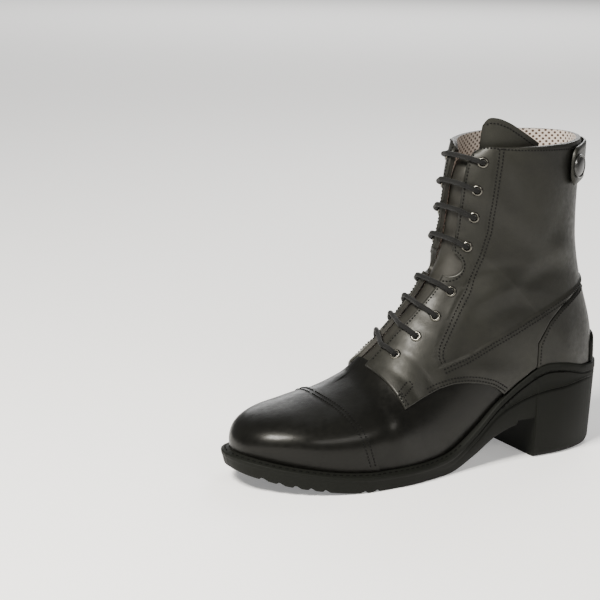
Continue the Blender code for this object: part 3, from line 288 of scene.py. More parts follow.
def findNotch():
    rows = np.linspace(14.0, 22.0, 321)
    heights = np.array([lastPoint(s, -1, 1.0)[2] for s in rows])
    centre = float(np.interp(notch["z"], heights, rows))
    top = float(np.interp(notch["z"] + notch["half"], heights, rows))
    rowStore.clear()
    notchRows.extend([centre, top - centre])


findNotch()
footS = np.linspace(0.0, heelRow, 801)
footF = np.array([lastValues(s)[0] for s in footS])
backS = np.linspace(heelRow + 1e-6, collarRow, 181)
backZ = np.array([lastValues(s)[1] for s in backS])
backY = np.array([lastPoint(s, -1, 0.0)[1] for s in backS])
lip = {side: np.array([blendRows(soleTable, s)[3 if side < 0 else 4] for s in footS]) for side in (-1, 1)}


def soleEdge(f, side):
    return float(np.interp(-f, -footF, lip[side]))


def zipMiddle(z):
    return np.interp(z, backZ, backY)


# Soft relief of the worn leather, in millimetres outward.
def relief(points, side):
    f, z = points[..., 0], points[..., 2]
    out = np.zeros(points.shape[:-1])
    for row in creases:
        c = dict(zip(creaseNames, row))
        if c["side"] not in (0, side):
            continue
        turn = math.radians(c["slant"])
        df = f - c["f"]
        dz = z - c["z"]
        alongIt = df * math.cos(turn) + dz * math.sin(turn)
        acrossIt = dz * math.cos(turn) - df * math.sin(turn)
        bend = acrossIt + creaseBend * alongIt**2
        out -= c["deep"] * np.exp(-((alongIt / c["long"]) ** 2) - (bend / c["wide"]) ** 2)
    ripple = np.sin(f * 0.11 + 1.3 * np.sin(z * 0.06)) * np.sin(z * 0.09 + 0.7)
    return out + rippleDepth * ripple


# Materials

def linear(hexColor):
    channels = [int(hexColor[k:k + 2], 16) / 255.0 for k in (1, 3, 5)]
    return tuple(c / 12.92 if c <= 0.04045 else ((c + 0.055) / 1.055) ** 2.4 for c in channels) + (1.0,)


def addNode(tree, kind, settings=None, inputs=None, links=None):
    node = tree.nodes.new(kind)
    for key, value in (settings or {}).items():
        setattr(node, key, value)
    for key, value in (inputs or {}).items():
        node.inputs[key].default_value = value
    for key, source in (links or {}).items():
        tree.links.new(source, node.inputs[key])
    return node


# Pattern scale from the real size of one cell in millimetres.
def cellScale(size):
    return 1.0 / (size * mm)


def newMaterial(name, color, roughness, metallic=0.0, coat=0.0, coatRoughness=0.2, sheen=0.0, specular=0.33):
    mat = bpy.data.materials.new(name)
    mat.use_nodes = True
    shader = mat.node_tree.nodes["Principled BSDF"]
    for key, value in (("Base Color", linear(color)), ("Roughness", roughness), ("Metallic", metallic),
                       ("Coat Weight", coat), ("Coat Roughness", coatRoughness), ("Sheen Weight", sheen),
                       ("Specular IOR Level", specular)):
        shader.inputs[key].default_value = value
    return mat, mat.node_tree, shader


# Full-grain leather with a waxed finish: fine grain, pores and soft uneven wear.  Pores
# and grain are drawn two or three times coarser than real ones, so that they show.
def leather(name, dark, light, roughness, coat, grain=1.0, specular=0.33):
    mat, tree, shader = newMaterial(name, dark, roughness, coat=coat, coatRoughness=0.22, specular=specular)
    shader.inputs["Specular Tint"].default_value = (1.0, 0.98, 0.91, 1.0)
    place = addNode(tree, "ShaderNodeTexCoord").outputs["Object"]
    broad = addNode(tree, "ShaderNodeTexNoise", links={"Vector": place},
                    inputs={"Scale": cellScale(38.46), "Detail": 4.0, "Roughness": 0.55})
    tone = addNode(tree, "ShaderNodeMapRange", inputs={"From Min": 0.32, "From Max": 0.68},
                   links={"Value": broad.outputs["Fac"]})
    mix = addNode(tree, "ShaderNodeMix", {"data_type": "RGBA"}, links={"Factor": tone.outputs["Result"]})
    mix.inputs["A"].default_value = linear(dark)
    mix.inputs["B"].default_value = linear(light)
    tree.links.new(mix.outputs["Result"], shader.inputs["Base Color"])
    wear = addNode(tree, "ShaderNodeTexNoise", inputs={"Scale": cellScale(3.333), "Detail": 6.0},
                   links={"Vector": place})
    rough = addNode(tree, "ShaderNodeMapRange", links={"Value": wear.outputs["Fac"]},
                    inputs={"From Min": 0.3, "From Max": 0.7,
                            "To Min": roughness - 0.06, "To Max": roughness + 0.08})
    tree.links.new(rough.outputs["Result"], shader.inputs["Roughness"])
    cells = addNode(tree, "ShaderNodeTexVoronoi", {"feature": "F1"}, {"Scale": cellScale(0.6667)},
                    {"Vector": place})
    fine = addNode(tree, "ShaderNodeTexNoise", inputs={"Scale": cellScale(0.3846), "Detail": 3.0},
                   links={"Vector": place})
    swell = addNode(tree, "ShaderNodeTexNoise", inputs={"Scale": cellScale(8.333), "Detail": 3.0},
                    links={"Vector": place})
    low = addNode(tree, "ShaderNodeBump", inputs={"Strength": 0.16 * grain, "Distance": 0.0008},
                  links={"Height": swell.outputs["Fac"]})
    mid = addNode(tree, "ShaderNodeBump", inputs={"Strength": 0.22 * grain, "Distance": 0.00012},
                  links={"Height": cells.outputs["Distance"], "Normal": low.outputs["Normal"]})
    top = addNode(tree, "ShaderNodeBump", inputs={"Strength": 0.2 * grain, "Distance": 0.00008},
                  links={"Height": fine.outputs["Fac"], "Normal": mid.outputs["Normal"]})
    tree.links.new(top.outputs["Normal"], shader.inputs["Normal"])
    return mat


# Moulded rubber with a faint eggshell texture.
def rubber(name, color, roughness):
    mat, tree, shader = newMaterial(name, color, roughness, specular=0.1)
    place = addNode(tree, "ShaderNodeTexCoord").outputs["Object"]
    grain = addNode(tree, "ShaderNodeTexNoise", inputs={"Scale": cellScale(0.5556), "Detail": 2.0},
                    links={"Vector": place})
    bump = addNode(tree, "ShaderNodeBump", inputs={"Strength": 0.18, "Distance": 0.0001},
                   links={"Height": grain.outputs["Fac"]})
    tree.links.new(bump.outputs["Normal"], shader.inputs["Normal"])
    return mat


# Open spacer mesh: dark holes in slanting rows, laid out in millimetres by the UV map.
def meshLining(name, cloth, hole, spacing=2.778):
    mat, tree, shader = newMaterial(name, cloth, 0.9, sheen=0.2)
    uv = addNode(tree, "ShaderNodeUVMap").outputs["UV"]
    turned = addNode(tree, "ShaderNodeMapping", links={"Vector": uv},
                     inputs={"Rotation": (0.0, 0.0, math.radians(38.0)), "Scale": (1.0 / spacing,) * 3})
    cell = addNode(tree, "ShaderNodeVectorMath", {"operation": "FRACTION"},
                   links={0: turned.outputs["Vector"]})
    off = addNode(tree, "ShaderNodeVectorMath", {"operation": "SUBTRACT"}, links={0: cell.outputs["Vector"]})
    off.inputs[1].default_value = (0.5, 0.5, 0.0)
    reach = addNode(tree, "ShaderNodeVectorMath", {"operation": "LENGTH"}, links={0: off.outputs["Vector"]})
    dot = addNode(tree, "ShaderNodeMapRange", inputs={"From Min": 0.27, "From Max": 0.34},
                  links={"Value": reach.outputs["Value"]})
    mix = addNode(tree, "ShaderNodeMix", {"data_type": "RGBA"}, links={"Factor": dot.outputs["Result"]})
    mix.inputs["A"].default_value = linear(hole)
    mix.inputs["B"].default_value = linear(cloth)
    tree.links.new(mix.outputs["Result"], shader.inputs["Base Color"])
    bump = addNode(tree, "ShaderNodeBump", inputs={"Strength": 0.5, "Distance": 0.0004},
                   links={"Height": dot.outputs["Result"]})
    tree.links.new(bump.outputs["Normal"], shader.inputs["Normal"])
    return mat


# Woven or braided cord and tape, its cells a strand of thread wide.
def woven(name, color, roughness, strand, sheen=0.05):
    mat, tree, shader = newMaterial(name, color, roughness, sheen=sheen, specular=0.18)
    place = addNode(tree, "ShaderNodeTexCoord").outputs["Object"]
    weave = addNode(tree, "ShaderNodeTexVoronoi", inputs={"Scale": cellScale(strand)},
                    links={"Vector": place})
    bump = addNode(tree, "ShaderNodeBump", inputs={"Strength": 0.6, "Distance": 0.0003},
                   links={"Height": weave.outputs["Distance"]})
    tree.links.new(bump.outputs["Normal"], shader.inputs["Normal"])
    return mat


# The quarters have a matt wax finish, which spreads the light; the vamp and cap are
# polished, so they are darker with a tighter highlight.
quarterLeather = leather("quarter_leather", "#11110f", "#1a1a16", 0.46, 0.04, 1.5, 0.27)
vampLeather = leather("vamp_leather", "#080807", "#0c0c0a", 0.36, 0.13, 1.2, 0.12)
liningMesh = meshLining("shaft_lining", "#b9aea4", "#43352c")
# Cut edges, stained and without any polish. The same dark leather is painted shade on the tongue's face
# below the collar and in the eyelet bores.
edgeAndShadeLeather = leather("cut_edge_and_shade_leather", "#151411", "#1f1e1a", 0.55, 0.0)
facingLining = woven("facing_lining", "#a99c8b", 0.85, 0.7143)
# Nitrile sole rubber, dull from its mould.
soleRubber = rubber("sole_rubber", "#10110e", 0.62)
# Painted shade: the moulded stitches are drawn in darker, duller rubber than the sole, for the shade at
# their foot.
stitchShadeRubber = rubber("sole_stitch_shade_rubber", "#080807", 0.8)
# Braided polyester cord, twill zip tape and bonded nylon thread, all without shine.
cordBlack = woven("lace_cord", "#0a0a09", 0.8, 1.111)
tapeBlack = woven("zip_tape", "#1b1b19", 0.8, 0.8333)
threadBlack = woven("seam_thread", "#050504", 0.8, 0.4, 0.0)
# Dark nickel plating in one even colour; the brighter wear at its rims is not drawn.
gunmetal, _, _ = newMaterial("gunmetal", "#5c5a54", 0.26, metallic=1.0)
# Black lacquer on the snap cap.
snapBlack, _, _ = newMaterial("snap_black", "#1a1a19", 0.3, coat=0.4)
print("materials made")


# Meshes

def toModel(points):
    p = np.asarray(points, dtype=float).reshape(-1, 3)
    return np.stack([(originForward - p[:, 0]) * mm, (p[:, 1] - originSide) * mm, p[:, 2] * mm], axis=1)


def newPiece(name, verts, faces, mats, slotName, replaced=(), body="boot", faceMats=None, uvs=None,
             sharp=50.0):
    mesh = bpy.data.meshes.new(name)
    mesh.from_pydata([tuple(v) for v in toModel(verts)], [], faces)
    for mat in mats:
        mesh.materials.append(mat)
    if faceMats is not None:
        mesh.polygons.foreach_set("material_index", np.array(faceMats, dtype=np.int32))
    if uvs is not None:
        layer = mesh.uv_layers.new(name="UVMap")
        corners = np.zeros(len(mesh.loops), dtype=np.int32)
        mesh.loops.foreach_get("vertex_index", corners)
        layer.data.foreach_set("uv", np.asarray(uvs, dtype=np.float32)[corners].ravel())
    mesh.validate()
    shape = bmesh.new()
    shape.from_mesh(mesh)
    bmesh.ops.recalc_face_normals(shape, faces=shape.faces)
    shape.to_mesh(mesh)
    shape.free()
    mesh.update()
    mesh.shade_smooth()
    mesh.set_sharp_from_angle(angle=math.radians(sharp))
    obj = bpy.data.objects.new(name, mesh)
    bpy.context.scene.collection.objects.link(obj)
    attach(obj, body)
    if replaced:
        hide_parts(*replaced)


def gridFaces(rows, cols, start=0, flip=False):
    faces = []
    for i in range(rows - 1):
        for j in range(cols - 1):
            a = start + i * cols + j
            quad = (a, a + 1, a + cols + 1, a + cols)
            faces.append(quad[::-1] if flip else quad)
    return faces


def gridNormals(grid, side=1):
    n = np.cross(np.gradient(grid, axis=0), np.gradient(grid, axis=1))
    return unit(n) * side


# Closed sheet between two grids; the far grid is the outside.
def sheetParts(far, near, flip):
    rows, cols = far.shape[:2]
    verts = np.concatenate([far.reshape(-1, 3), near.reshape(-1, 3)])
    off = rows * cols
    faces = gridFaces(rows, cols, 0, flip) + gridFaces(rows, cols, off, not flip)
    ring = ([(0, j) for j in range(cols)] + [(i, cols - 1) for i in range(1, rows)]
            + [(rows - 1, j) for j in range(cols - 2, -1, -1)] + [(i, 0) for i in range(rows - 2, 0, -1)])
    loop = [i * cols + j for i, j in ring]
    for a, b in zip(loop, loop[1:] + loop[:1]):
        quad = (b, a, a + off, b + off)
        faces.append(quad[::-1] if flip else quad)
    return verts, faces


# Faces between rings of corners that follow each other, with the ends closed or open.
def ringFaces(rings, count, ends=True, loop=False):
    faces = []
    for i in range(rings if loop else rings - 1):
        a, b = i * count, ((i + 1) % rings) * count
        for j in range(count):
            k = (j + 1) % count
            faces.append((a + j, a + k, b + k, b + j))
    if ends:
        faces.append(tuple(range(count))[::-1])
        faces.append(tuple((rings - 1) * count + j for j in range(count)))
    return faces


def treeOf(verts, faces):
    return BVHTree.FromPolygons([Vector(v) for v in verts], faces)


def gridTree(grid):
    return treeOf(grid.reshape(-1, 3), gridFaces(*grid.shape[:2]))


def hitFrom(tree, start, direction, reach=200.0):
    hit = tree.ray_cast(Vector(start), Vector(direction), reach)
    return (np.array(hit[0]), np.array(hit[1])) if hit[0] is not None else (None, None)


# Upper: the hollow leather body with its toe cap, lined inside.

upperPiece = {"cols": 76, "gapCols": 16, "girth": 105.0, "rows": np.unique(np.concatenate([
    np.linspace(0.0, 1.0, 9), np.linspace(1.0, 6.9, 60), [6.96, 6.985, 7.0, 7.015, 7.04],
    np.linspace(7.1, 16.0, 80), np.linspace(16.0, 21.0, 80), np.linspace(21.0, 29.0, 50),
    [throatRow, 20.0]]))}


# The cap's seam runs further back on the sides than over the top.
def capShift(s, a):
    return 0.72 * (1.0 - np.minimum(a, 1.0)) ** 1.5 * ease((s - 5.0) / 2.0) * ease((9.3 - s) / 2.3)


def buildUpper(piece):
    rows = piece["rows"]
    body = np.linspace(0.0, 1.0, piece["cols"])
    gap = np.linspace(1.0, 2.0, piece["gapCols"])[1:]
    half = np.concatenate([body, gap])
    k, m = len(body) - 1, len(half) - 1
    cols = 2 * m + 1
    # The last's own surface, from the outer foot end over the ridge to the inner foot end.
    base = np.zeros((len(rows), cols, 3))
    for i, s in enumerate(rows):
        base[i, :m + 1] = lastPoint(s, -1, half)
        base[i, m:] = lastPoint(s, 1, half[::-1])
    ways = np.concatenate([half, half[::-1][1:]])
    for j, a in enumerate(ways):
        moved = rows + capShift(rows, a)
        base[:, j] = np.stack([np.interp(moved, rows, base[:, j, c]) for c in range(3)], axis=1)
    normals = gridNormals(base, -1)
    normals[0] = unit(np.array([1.0, 0.0, 0.12]))
    normals[1] = unit(normals[1] + normals[0])
    for i, s in enumerate(rows):
        if s >= heelRow:
            back = unit(normals[i, 0] + normals[i, -1])
            normals[i, 0] = normals[i, -1] = unit(np.array([back[0], back[1], 0.0]))
    lift = np.zeros(base.shape[:2])
    lift[:, :m] = relief(base[:, :m], -1)
    lift[:, m:] = relief(base[:, m:], 1)
    fade = ease((rows - 1.5) / 2.0)[:, None]
    covered = ease((rows - throatRow) / 0.5)[:, None]
    lift *= fade * (1.0 - covered)
    cap = np.where(rows < capRow, capStep * ease((capRow + 0.02 - rows) / 0.03), 0.0)
    outer = base + normals * (lift + cap[:, None])[..., None]
    inner = base - normals * wall
    low = rows <= heelRow
    for j in (0, cols - 1):
        outer[low, j, 2] = base[low, j, 2]
        inner[low, j, 2] = base[low, j, 2]
    throat = int(np.searchsorted(rows, throatRow))
    verts = np.concatenate([outer.reshape(-1, 3), inner.reshape(-1, 3)])
    off = len(rows) * cols
    faces, mats = [], []

    # Material 0 is the outside, 1 the lining and 2 a cut edge.
    def add(face, mat):
        faces.append(face)
        mats.append(mat)

    for i in range(len(rows) - 1):
        for j in range(cols - 1):
            if i >= throat and k <= j < cols - 1 - k:
                continue
            a = i * cols + j
            add((a + cols, a + cols + 1, a + 1, a), 0)
            add((off + a, off + a + 1, off + a + cols + 1, off + a + cols), 1)
            if i >= throat and j == k - 1:
                add((a + 1, a + cols + 1, off + a + cols + 1, off + a + 1), 2)
            if i >= throat and j == cols - 1 - k:
                add((a, off + a, off + a + cols, a + cols), 2)
    heel = int(np.searchsorted(rows, float(heelRow)))
    for i in range(heel):
        a = i * cols
        add((a, off + a, off + a + cols, a + cols), 2)
        a = i * cols + cols - 1
        add((a, a + cols, off + a + cols, off + a), 2)
    for j in range(k, cols - 1 - k):
        a = throat * cols + j
        add((a, off + a, off + a + 1, a + 1), 2)
    for j in range(cols - 1):
        if not k <= j < cols - 1 - k:
            a = (len(rows) - 1) * cols + j
            add((a, off + a, off + a + 1, a + 1), 2)
    girth = np.concatenate([half, 4.0 - half[::-1][1:]]) * piece["girth"]
    uv = np.zeros((len(rows), cols, 2))
    uv[:, :, 0] = girth[None, :]
    uv[:, :, 1] = base[:, :, 2]
    uvs = np.concatenate([uv.reshape(-1, 2), uv.reshape(-1, 2)])
    newPiece("upper_body", verts, faces, [vampLeather, liningMesh, edgeAndShadeLeather], "black_leather",
             ["upper"], faceMats=mats, uvs=uvs)
    return treeOf(verts, [f for f, mat in zip(faces, mats) if mat == 0])


upperTree = buildUpper(upperPiece)
print("upper made")


# Quarters: the shaft panels with the facings, lapped over the vamp.

quarterPiece = {"cols": 100, "overlay": 0.6, "rim": 0.45, "rows": np.unique(np.concatenate([
    np.linspace(frontRow, 12.0, 36), np.linspace(12.0, 16.0, 40), np.linspace(16.0, 21.0, 84),
    np.linspace(21.0, 29.0, 64)]))}


# True where the quarter covers the last: above the sole, the vamp and counter seams,
# and clear of the zip's round-ended slot.
def inQuarter(points, side):
    f, y, z = points[..., 0], points[..., 1], points[..., 2]
    vamp = np.array(vampCurve)
    counter = np.array(counterCurve)
    edge = np.interp(-f, -footF, lip[side]) + 0.9
    inside = z > edge
    inside &= ~((f > 80.0) & (z < np.interp(f, vamp[:, 0], vamp[:, 1])))
    inside &= ~((f < counterFront + 0.4) & (z < np.interp(f, counter[:, 0], counter[:, 1]) + 0.4))
    turn = zipFoot + zipHalf - 3.0
    dip = np.maximum(turn - z, 0.0)
    reach = np.sqrt(np.maximum(zipHalf**2 - dip**2, 0.0))
    inside &= ~((f < 45.0) & (z > zipFoot - 3.0) & (np.abs(y - zipMiddle(z)) < reach))
    return inside


# Lowest place of the quarter on a row, closed in on by halving.
def quarterLow(s, side):
    tries = np.linspace(0.0, 0.97, 160)
    good = inQuarter(lastPoint(s, side, tries), side)
    bad = np.nonzero(~good)[0]
    if len(bad) == 0:
        return 0.0
    low, high = tries[bad[-1]], tries[min(bad[-1] + 1, len(tries) - 1)]
    for _ in range(9):
        half = 0.5 * (low + high)
        if inQuarter(lastPoint(s, side, half)[None], side)[0]:
            high = half
        else:
            low = half
    return high


# Signed side of the eyestay and diagonal seams: positive on the facing and lower panel.
def overlayShare(points):
    line = np.array(eyestayLine)
    seam = np.array(diagonalLine)[::-1]
    f, z = points[..., 0], points[..., 2]
    order = np.argsort(line[:, 1])
    ahead = f - np.interp(z, line[order, 1], line[order, 0])
    below = np.interp(f, seam[:, 0], seam[:, 1]) - z
    above = z > 71.5
    share = np.maximum(ease((ahead + 0.6) / 1.2) * above, ease((below * 0.92 + 0.6) / 1.2))
    return np.maximum(share, ease((f - 143.0) / 1.0))


def buildQuarter(piece, side):
    rows = piece["rows"]
    share = np.linspace(0.0, 1.0, piece["cols"])
    base = np.zeros((len(rows), len(share), 3))
    for i, s in enumerate(rows):
        low = quarterLow(s, side)
        base[i] = lastPoint(s, side, low + share * (1.0 - low))
    normals = gridNormals(base, side)
    level = panelGap + panel + piece["overlay"] * (overlayShare(base) - 0.5) + relief(base, side)
    rim = np.ones(base.shape[:2])
    rim[0] = rim[:, 0] = rim[:, -1] = rim[-1] = piece["rim"]
    outer = base + normals * (level * rim)[..., None]
    inner = base + normals * (panelGap * 0.4)
    verts, faces = sheetParts(outer, inner, side > 0)
    where = "outer" if side < 0 else "inner"
    newPiece("quarter_" + where + "_panel", verts, faces, [quarterLeather], "black_leather",
             ["quarter_" + where], sharp=70.0)
    return gridTree(outer)


shaftTree = {side: buildQuarter(quarterPiece, side) for side in (-1, 1)}
print("quarters made")


# Counter round the heel, between the sole and its curved seam.

counterPiece = {"cols": 140, "rows": 26, "rest": 0.15, "rim": 0.45, "clear": 0.3}


# Places round the heel from the front of the outer side to the front of the inner side.
def heelLine(count, front):
    half = np.linspace(float(np.interp(-front, -footF, footS)), float(heelRow), count // 2)
    return [(s, -1) for s in half] + [(s, 1) for s in half[::-1][1:]]


# Outward direction of the foot outline, level with the ground.
def flatNormal(s, side):
    if s > heelRow - 0.02:
        return np.array([-1.0, 0.0, 0.0])
    if s < 0.05:
        return np.array([1.0, 0.0, 0.0])
    d = lastPoint(min(s + 0.15, heelRow), side, 0.0) - lastPoint(max(s - 0.15, 0.0), side, 0.0)
    return unit(np.array([d[1], -d[0], 0.0]) * side)


# The boot's outside beside a point of the foot outline, at the height z.
def wallAt(tree, base, n, z):
    start = base + n * 45.0
    start[2] = z
    point, _ = hitFrom(tree, start, -n, 90.0)
    if point is None:
        point = base.copy()
        point[2] = z
    return point


def buildCounter(piece):
    curve = np.array(counterCurve)
    places = heelLine(piece["cols"], counterFront)
    inner = np.zeros((len(places), piece["rows"], 3))
    outer = np.zeros_like(inner)
    for i, (s, side) in enumerate(places):
        base = lastPoint(s, side, 0.0)
        n = flatNormal(s, side)
        low = soleEdge(base[0], side) + piece["clear"]
        high = float(np.interp(base[0], curve[:, 0], curve[:, 1]))
        for j, share in enumerate(np.linspace(0.0, 1.0, piece["rows"])):
            z = low + (high - low) * share
            point = wallAt(upperTree, base, n, z)
            onRim = j == piece["rows"] - 1 or i in (0, len(places) - 1)
            lift = panel * (piece["rim"] if onRim else 1.0) + float(relief(point, side))
            inner[i, j] = point + n * piece["rest"]
            outer[i, j] = point + n * (panelGap + max(lift, 0.2))
    verts, faces = sheetParts(outer, inner, True)
    newPiece("counter_panel", verts, faces, [quarterLeather], "black_leather", ["counter"], sharp=70.0)
    return gridTree(outer)


counterTree = buildCounter(counterPiece)
print("counter made")


# Sole and heel moulded in one, with a welt ledge, side grooves and tread.

solePiece = {"spacing": 0.9, "chamfer": 1.0, "heelChamfer": 3.0, "backChamfer": 4.0, "backSpread": 2.2,
             "treadDepth": 1.8, "treadHalf": 1.5, "waistRow": 14.0, "waistHeight": 27.5, "seat": 0.25}


# Sections of the sole by row, closer at the toe and the heel, and the row of the heel's front.
def soleStations(piece):
    breast = [float(np.interp(-(heelBreast + d), -footF, footS)) for d in (0.12, -0.12)]
    count = int((footF[0] - footF[-1]) / piece["spacing"])
    arc = np.linspace(0.0, 1.0, count)
    rows = np.interp(arc, np.linspace(0.0, 1.0, 801), footS)
    toe = np.linspace(0.0, 1.6, 26)
    cap = [capRow - 0.05, capRow + 0.07]
    heel = np.linspace(17.0, 20.0, 60)
    return np.unique(np.concatenate([rows, toe, cap, heel, breast])), breast[1]


# How far the upper stands outside the foot outline at the sole's top edge, evened out.
def wallReach(side):
    rows = np.arange(0.0, heelRow + 0.1, 0.25)
    reach = []
    for s in rows:
        r = soleRow(s)
        base, n = lastPoint(s, side, 0.0), flatNormal(s, side)
        top = max((r["lipLat"] if side < 0 else r["lipMed"]) + r["rise"], base[2] + 0.3)
        reach.append(float(np.dot(wallAt(upperTree, base, n, top) - base, n)) + solePiece["seat"])
    return rows, evenOut(np.array(reach), 3)


def buildSole(piece):
    stations, rear = soleStations(piece)
    walls = {side: wallReach(side) for side in (-1, 1)}
    rings = []
    seats = {-1: [], 1: []}
    for s in stations:
        r = soleRow(s)
        heel = s >= rear - 1e-6
        half = []
        for side in (-1, 1):
            base = lastPoint(s, side, 0.0)
            n = flatNormal(s, side)
            lipZ = r["lipLat"] if side < 0 else r["lipMed"]
            low = r["lowLat"] if side < 0 else r["lowMed"]
            if heel:
                low = 0.0
            elif s > piece["waistRow"]:
                low = piece["waistHeight"]
            low = max(low, 0.0)
            edgeF = base[0] + n[0] * r["ledge"]
            lift = sum(piece["treadDepth"] * float(ease(1.6 - abs(edgeF - groove) / piece["treadHalf"]))
                       for groove in treadGrooves)
            top = lipZ + r["rise"]
            bed = base[2] - 0.3
            inner = []
            for share in (0.0, 0.3, 0.65, 1.0):
                z = bed + (top - bed) * share
                point = wallAt(upperTree, base, n, max(z, base[2] + 0.3)) + n * piece["seat"]
                point[2] = z
                inner.append(point)
            spread = piece["backSpread"] * ease((s - 16.5) / 3.0)
            ledge = base + n * (np.interp(s, *walls[side]) + r["ledge"] + spread)
            seats[side].append((inner[3], ledge, lipZ, n, s))
            tall = lipZ - low
            groove = min(r["groove"], 0.35 * tall)
            rib = min(r["rib"], 0.62 * tall)
            step = 1.35 * r["step"]
            chamfer = piece["chamfer"]
            if heel:
                chamfer = piece["heelChamfer"] + piece["backChamfer"] * float(ease((s - 17.5) / 2.0))

            def sidePlace(down, inset):
                lean = max(down, 0.0) / max(tall, 1.0)
                p = ledge - n * (r["tuck"] * lean ** 1.2 + inset)
                p[2] = max(lipZ - down, low + lift)
                return p

            # Outside of the wall as depth below the lip and inset: lip, groove, rib and foot.
            outline = [(-0.25, 0.9), (-0.05, 0.35), (0.3, 0.0), (0.5 * groove, -0.2), (groove - 0.6, -0.25),
                       (groove - 0.15, 0.35 * step), (groove + 0.15, step), (groove + 0.8, 0.9 * step),
                       (groove + 1.4, 0.05 * step), (0.5 * (groove + 1.4 + rib - 1.0), 0.0),
                       (rib - 0.9, -0.1 * step), (rib - 0.3, -0.4 * step), (rib + 0.2, 0.2 * step),
                       (rib + 0.7, 0.8 * step), (rib + 1.8, 0.15 * step), (rib + 2.6, 0.0),
                       (0.5 * (rib + 2.6 + tall - chamfer), 0.0),
                       (tall - chamfer, 0.0), (tall - 0.3 * chamfer, 0.3 * chamfer), (tall, 0.9 * chamfer)]
            downs = np.maximum.accumulate([d for d, _ in outline])
            downs = np.minimum(downs, [tall - 0.001 * (len(outline) - k) for k in range(len(outline))])
            outer = [sidePlace(d, inset) for d, (_, inset) in zip(downs, outline)]
            shelf = [inner[3] + (outer[0] - inner[3]) * share for share in (0.35, 0.7)]
            half.append(outer[::-1] + shelf[::-1] + inner[::-1])
        rings.append(half[0] + half[1][::-1])
    grid = np.array(rings)
    rows, cols = grid.shape[:2]
    verts = grid.reshape(-1, 3)
    faces = ringFaces(rows, cols, ends=False)
    newPiece("sole_unit", verts, faces, [soleRubber], "sole_rubber", ["outsole"], sharp=40.0)
    return treeOf(verts, faces), seats


soleTree, welt = buildSole(solePiece)
print("sole made")


# Insole inside the boot.

insolePiece = {"thick": 3.0, "lift": 0.45, "clear": 0.6, "heelClear": 2.4, "heelFrom": 12.0}


def buildInsole(piece):
    rows = np.concatenate([np.linspace(0.0, 3.0, 16), np.linspace(3.3, 17.0, 50),
                           np.linspace(17.3, 20.0, 20)])
    share = np.linspace(0.0, 1.0, 9)
    grid = np.zeros((len(rows), len(share), 3))
    for i, s in enumerate(rows):
        inset = wall + (piece["clear"] if s < piece["heelFrom"] else piece["heelClear"])
        sides = [lastPoint(s, side, 0.0) - flatNormal(s, side) * inset for side in (-1, 1)]
        grid[i] = sides[0] + (sides[1] - sides[0]) * share[:, None]
    grid[:, :, 2] += piece["lift"]
    top = grid + np.array([0.0, 0.0, piece["thick"]])
    verts, faces = sheetParts(top, grid, False)
    newPiece("insole_sheet", verts, faces, [facingLining], "lining_fabric", ["insole"])


buildInsole(insolePiece)


# Tongue behind the laces, its rounded top standing above the collar.

tonguePiece = {"rise": 18.5, "thick": 2.4, "half": 20.0, "lowShift": 6.0, "topShift": 41.0, "lean": 0.10,
               "shadeRows": 62, "top": ((-1.0, 0.05), (-0.5, 0.42), (0.0, 0.78), (0.4, 0.97),
                                       (0.75, 1.0), (0.9, 0.92), (1.0, 0.7))}


def buildTongue(piece):
    rows = np.concatenate([[9.3], np.linspace(10.0, 27.6, 70)])
    across = np.linspace(-1.0, 1.0, 41)
    outer, inner = [], []
    for s in rows:
        line, under = [], []
        reach = piece["half"] + 6.0 * ease((s - 20.0) / 5.0) - 4.5 * ease((s - 26.5) / 2.5)
        shift = piece["lowShift"] * ease((s - 16.0) / 8.0) + piece["topShift"] * ease((s - 25.7) / 3.0)
        depth = wall + 1.3 + 4.0 * ease((s - 24.0) / 5.0)
        for c in across:
            place = c * reach - shift
            side = -1 if place < 0 else 1
            a = fromRidge(s, side, abs(place))
            n = outward(s, side, a)
            point = lastPoint(s, side, a)
            soft = 0.35 * math.sin(s * 2.1 + 0.6 * math.sin(place * 0.3)) * math.cos(place * 0.09)
            line.append(point - n * (depth - soft))
            under.append(point - n * (depth + piece["thick"]))
        outer.append(line)
        inner.append(under)
    outer, inner = np.array(outer), np.array(inner)
    # Above the collar the tongue climbs freely to its rounded top.
    top = np.array(piece["top"])
    edge = evenOut(np.interp(across, top[:, 0], top[:, 1]), 8)
    moreOuter, moreInner = [], []
    for k in np.linspace(0.0, 1.0, 12)[1:]:
        tall = collarHeight + piece["rise"] * edge - outer[-1][:, 2]
        climb = np.stack([-piece["lean"] * tall * k, np.zeros_like(tall), tall * k], axis=1)
        climb[:, 0] += 0.8 * math.sin(k * 2.6)
        moreOuter.append(outer[-1] + climb)
        moreInner.append(inner[-1] + climb)
    outer = np.concatenate([outer, np.array(moreOuter)])
    inner = np.concatenate([inner, np.array(moreInner)])
    inner[-1, :, 2] -= 0.7
    verts, faces = sheetParts(outer, inner, False)
    count = (outer.shape[0] - 1) * (outer.shape[1] - 1)
    shadeFaces = piece["shadeRows"] * (outer.shape[1] - 1)
    # Painted shade: the tongue's outer face below the collar, behind the laces and between the facings, is
    # drawn in the dark cut-edge leather.
    faceMats = [1] * shadeFaces + [0] * (count - shadeFaces) + [2] * count + [0] * (len(faces) - 2 * count)
    newPiece("tongue_sheet", verts, faces, [quarterLeather, edgeAndShadeLeather, facingLining], "black_leather",
             ["tongue"], faceMats=faceMats, sharp=60.0)
    return outer


tongueGrid = buildTongue(tonguePiece)
print("tongue made")


# Heel spur rest: a raised rubber ledge round the back of the counter.

spurPiece = {"turn": 46.0, "centre": 34.0, "top": 77.0, "endDrop": 5.0, "seat": 1.7, "thick": 1.7,
             "rounding": ((0.0, 0.5), (0.05, 0.85), (0.12, 1.0), (0.35, 1.0), (0.65, 1.0), (0.86, 1.0),
                          (0.94, 0.8), (1.0, 0.35))}


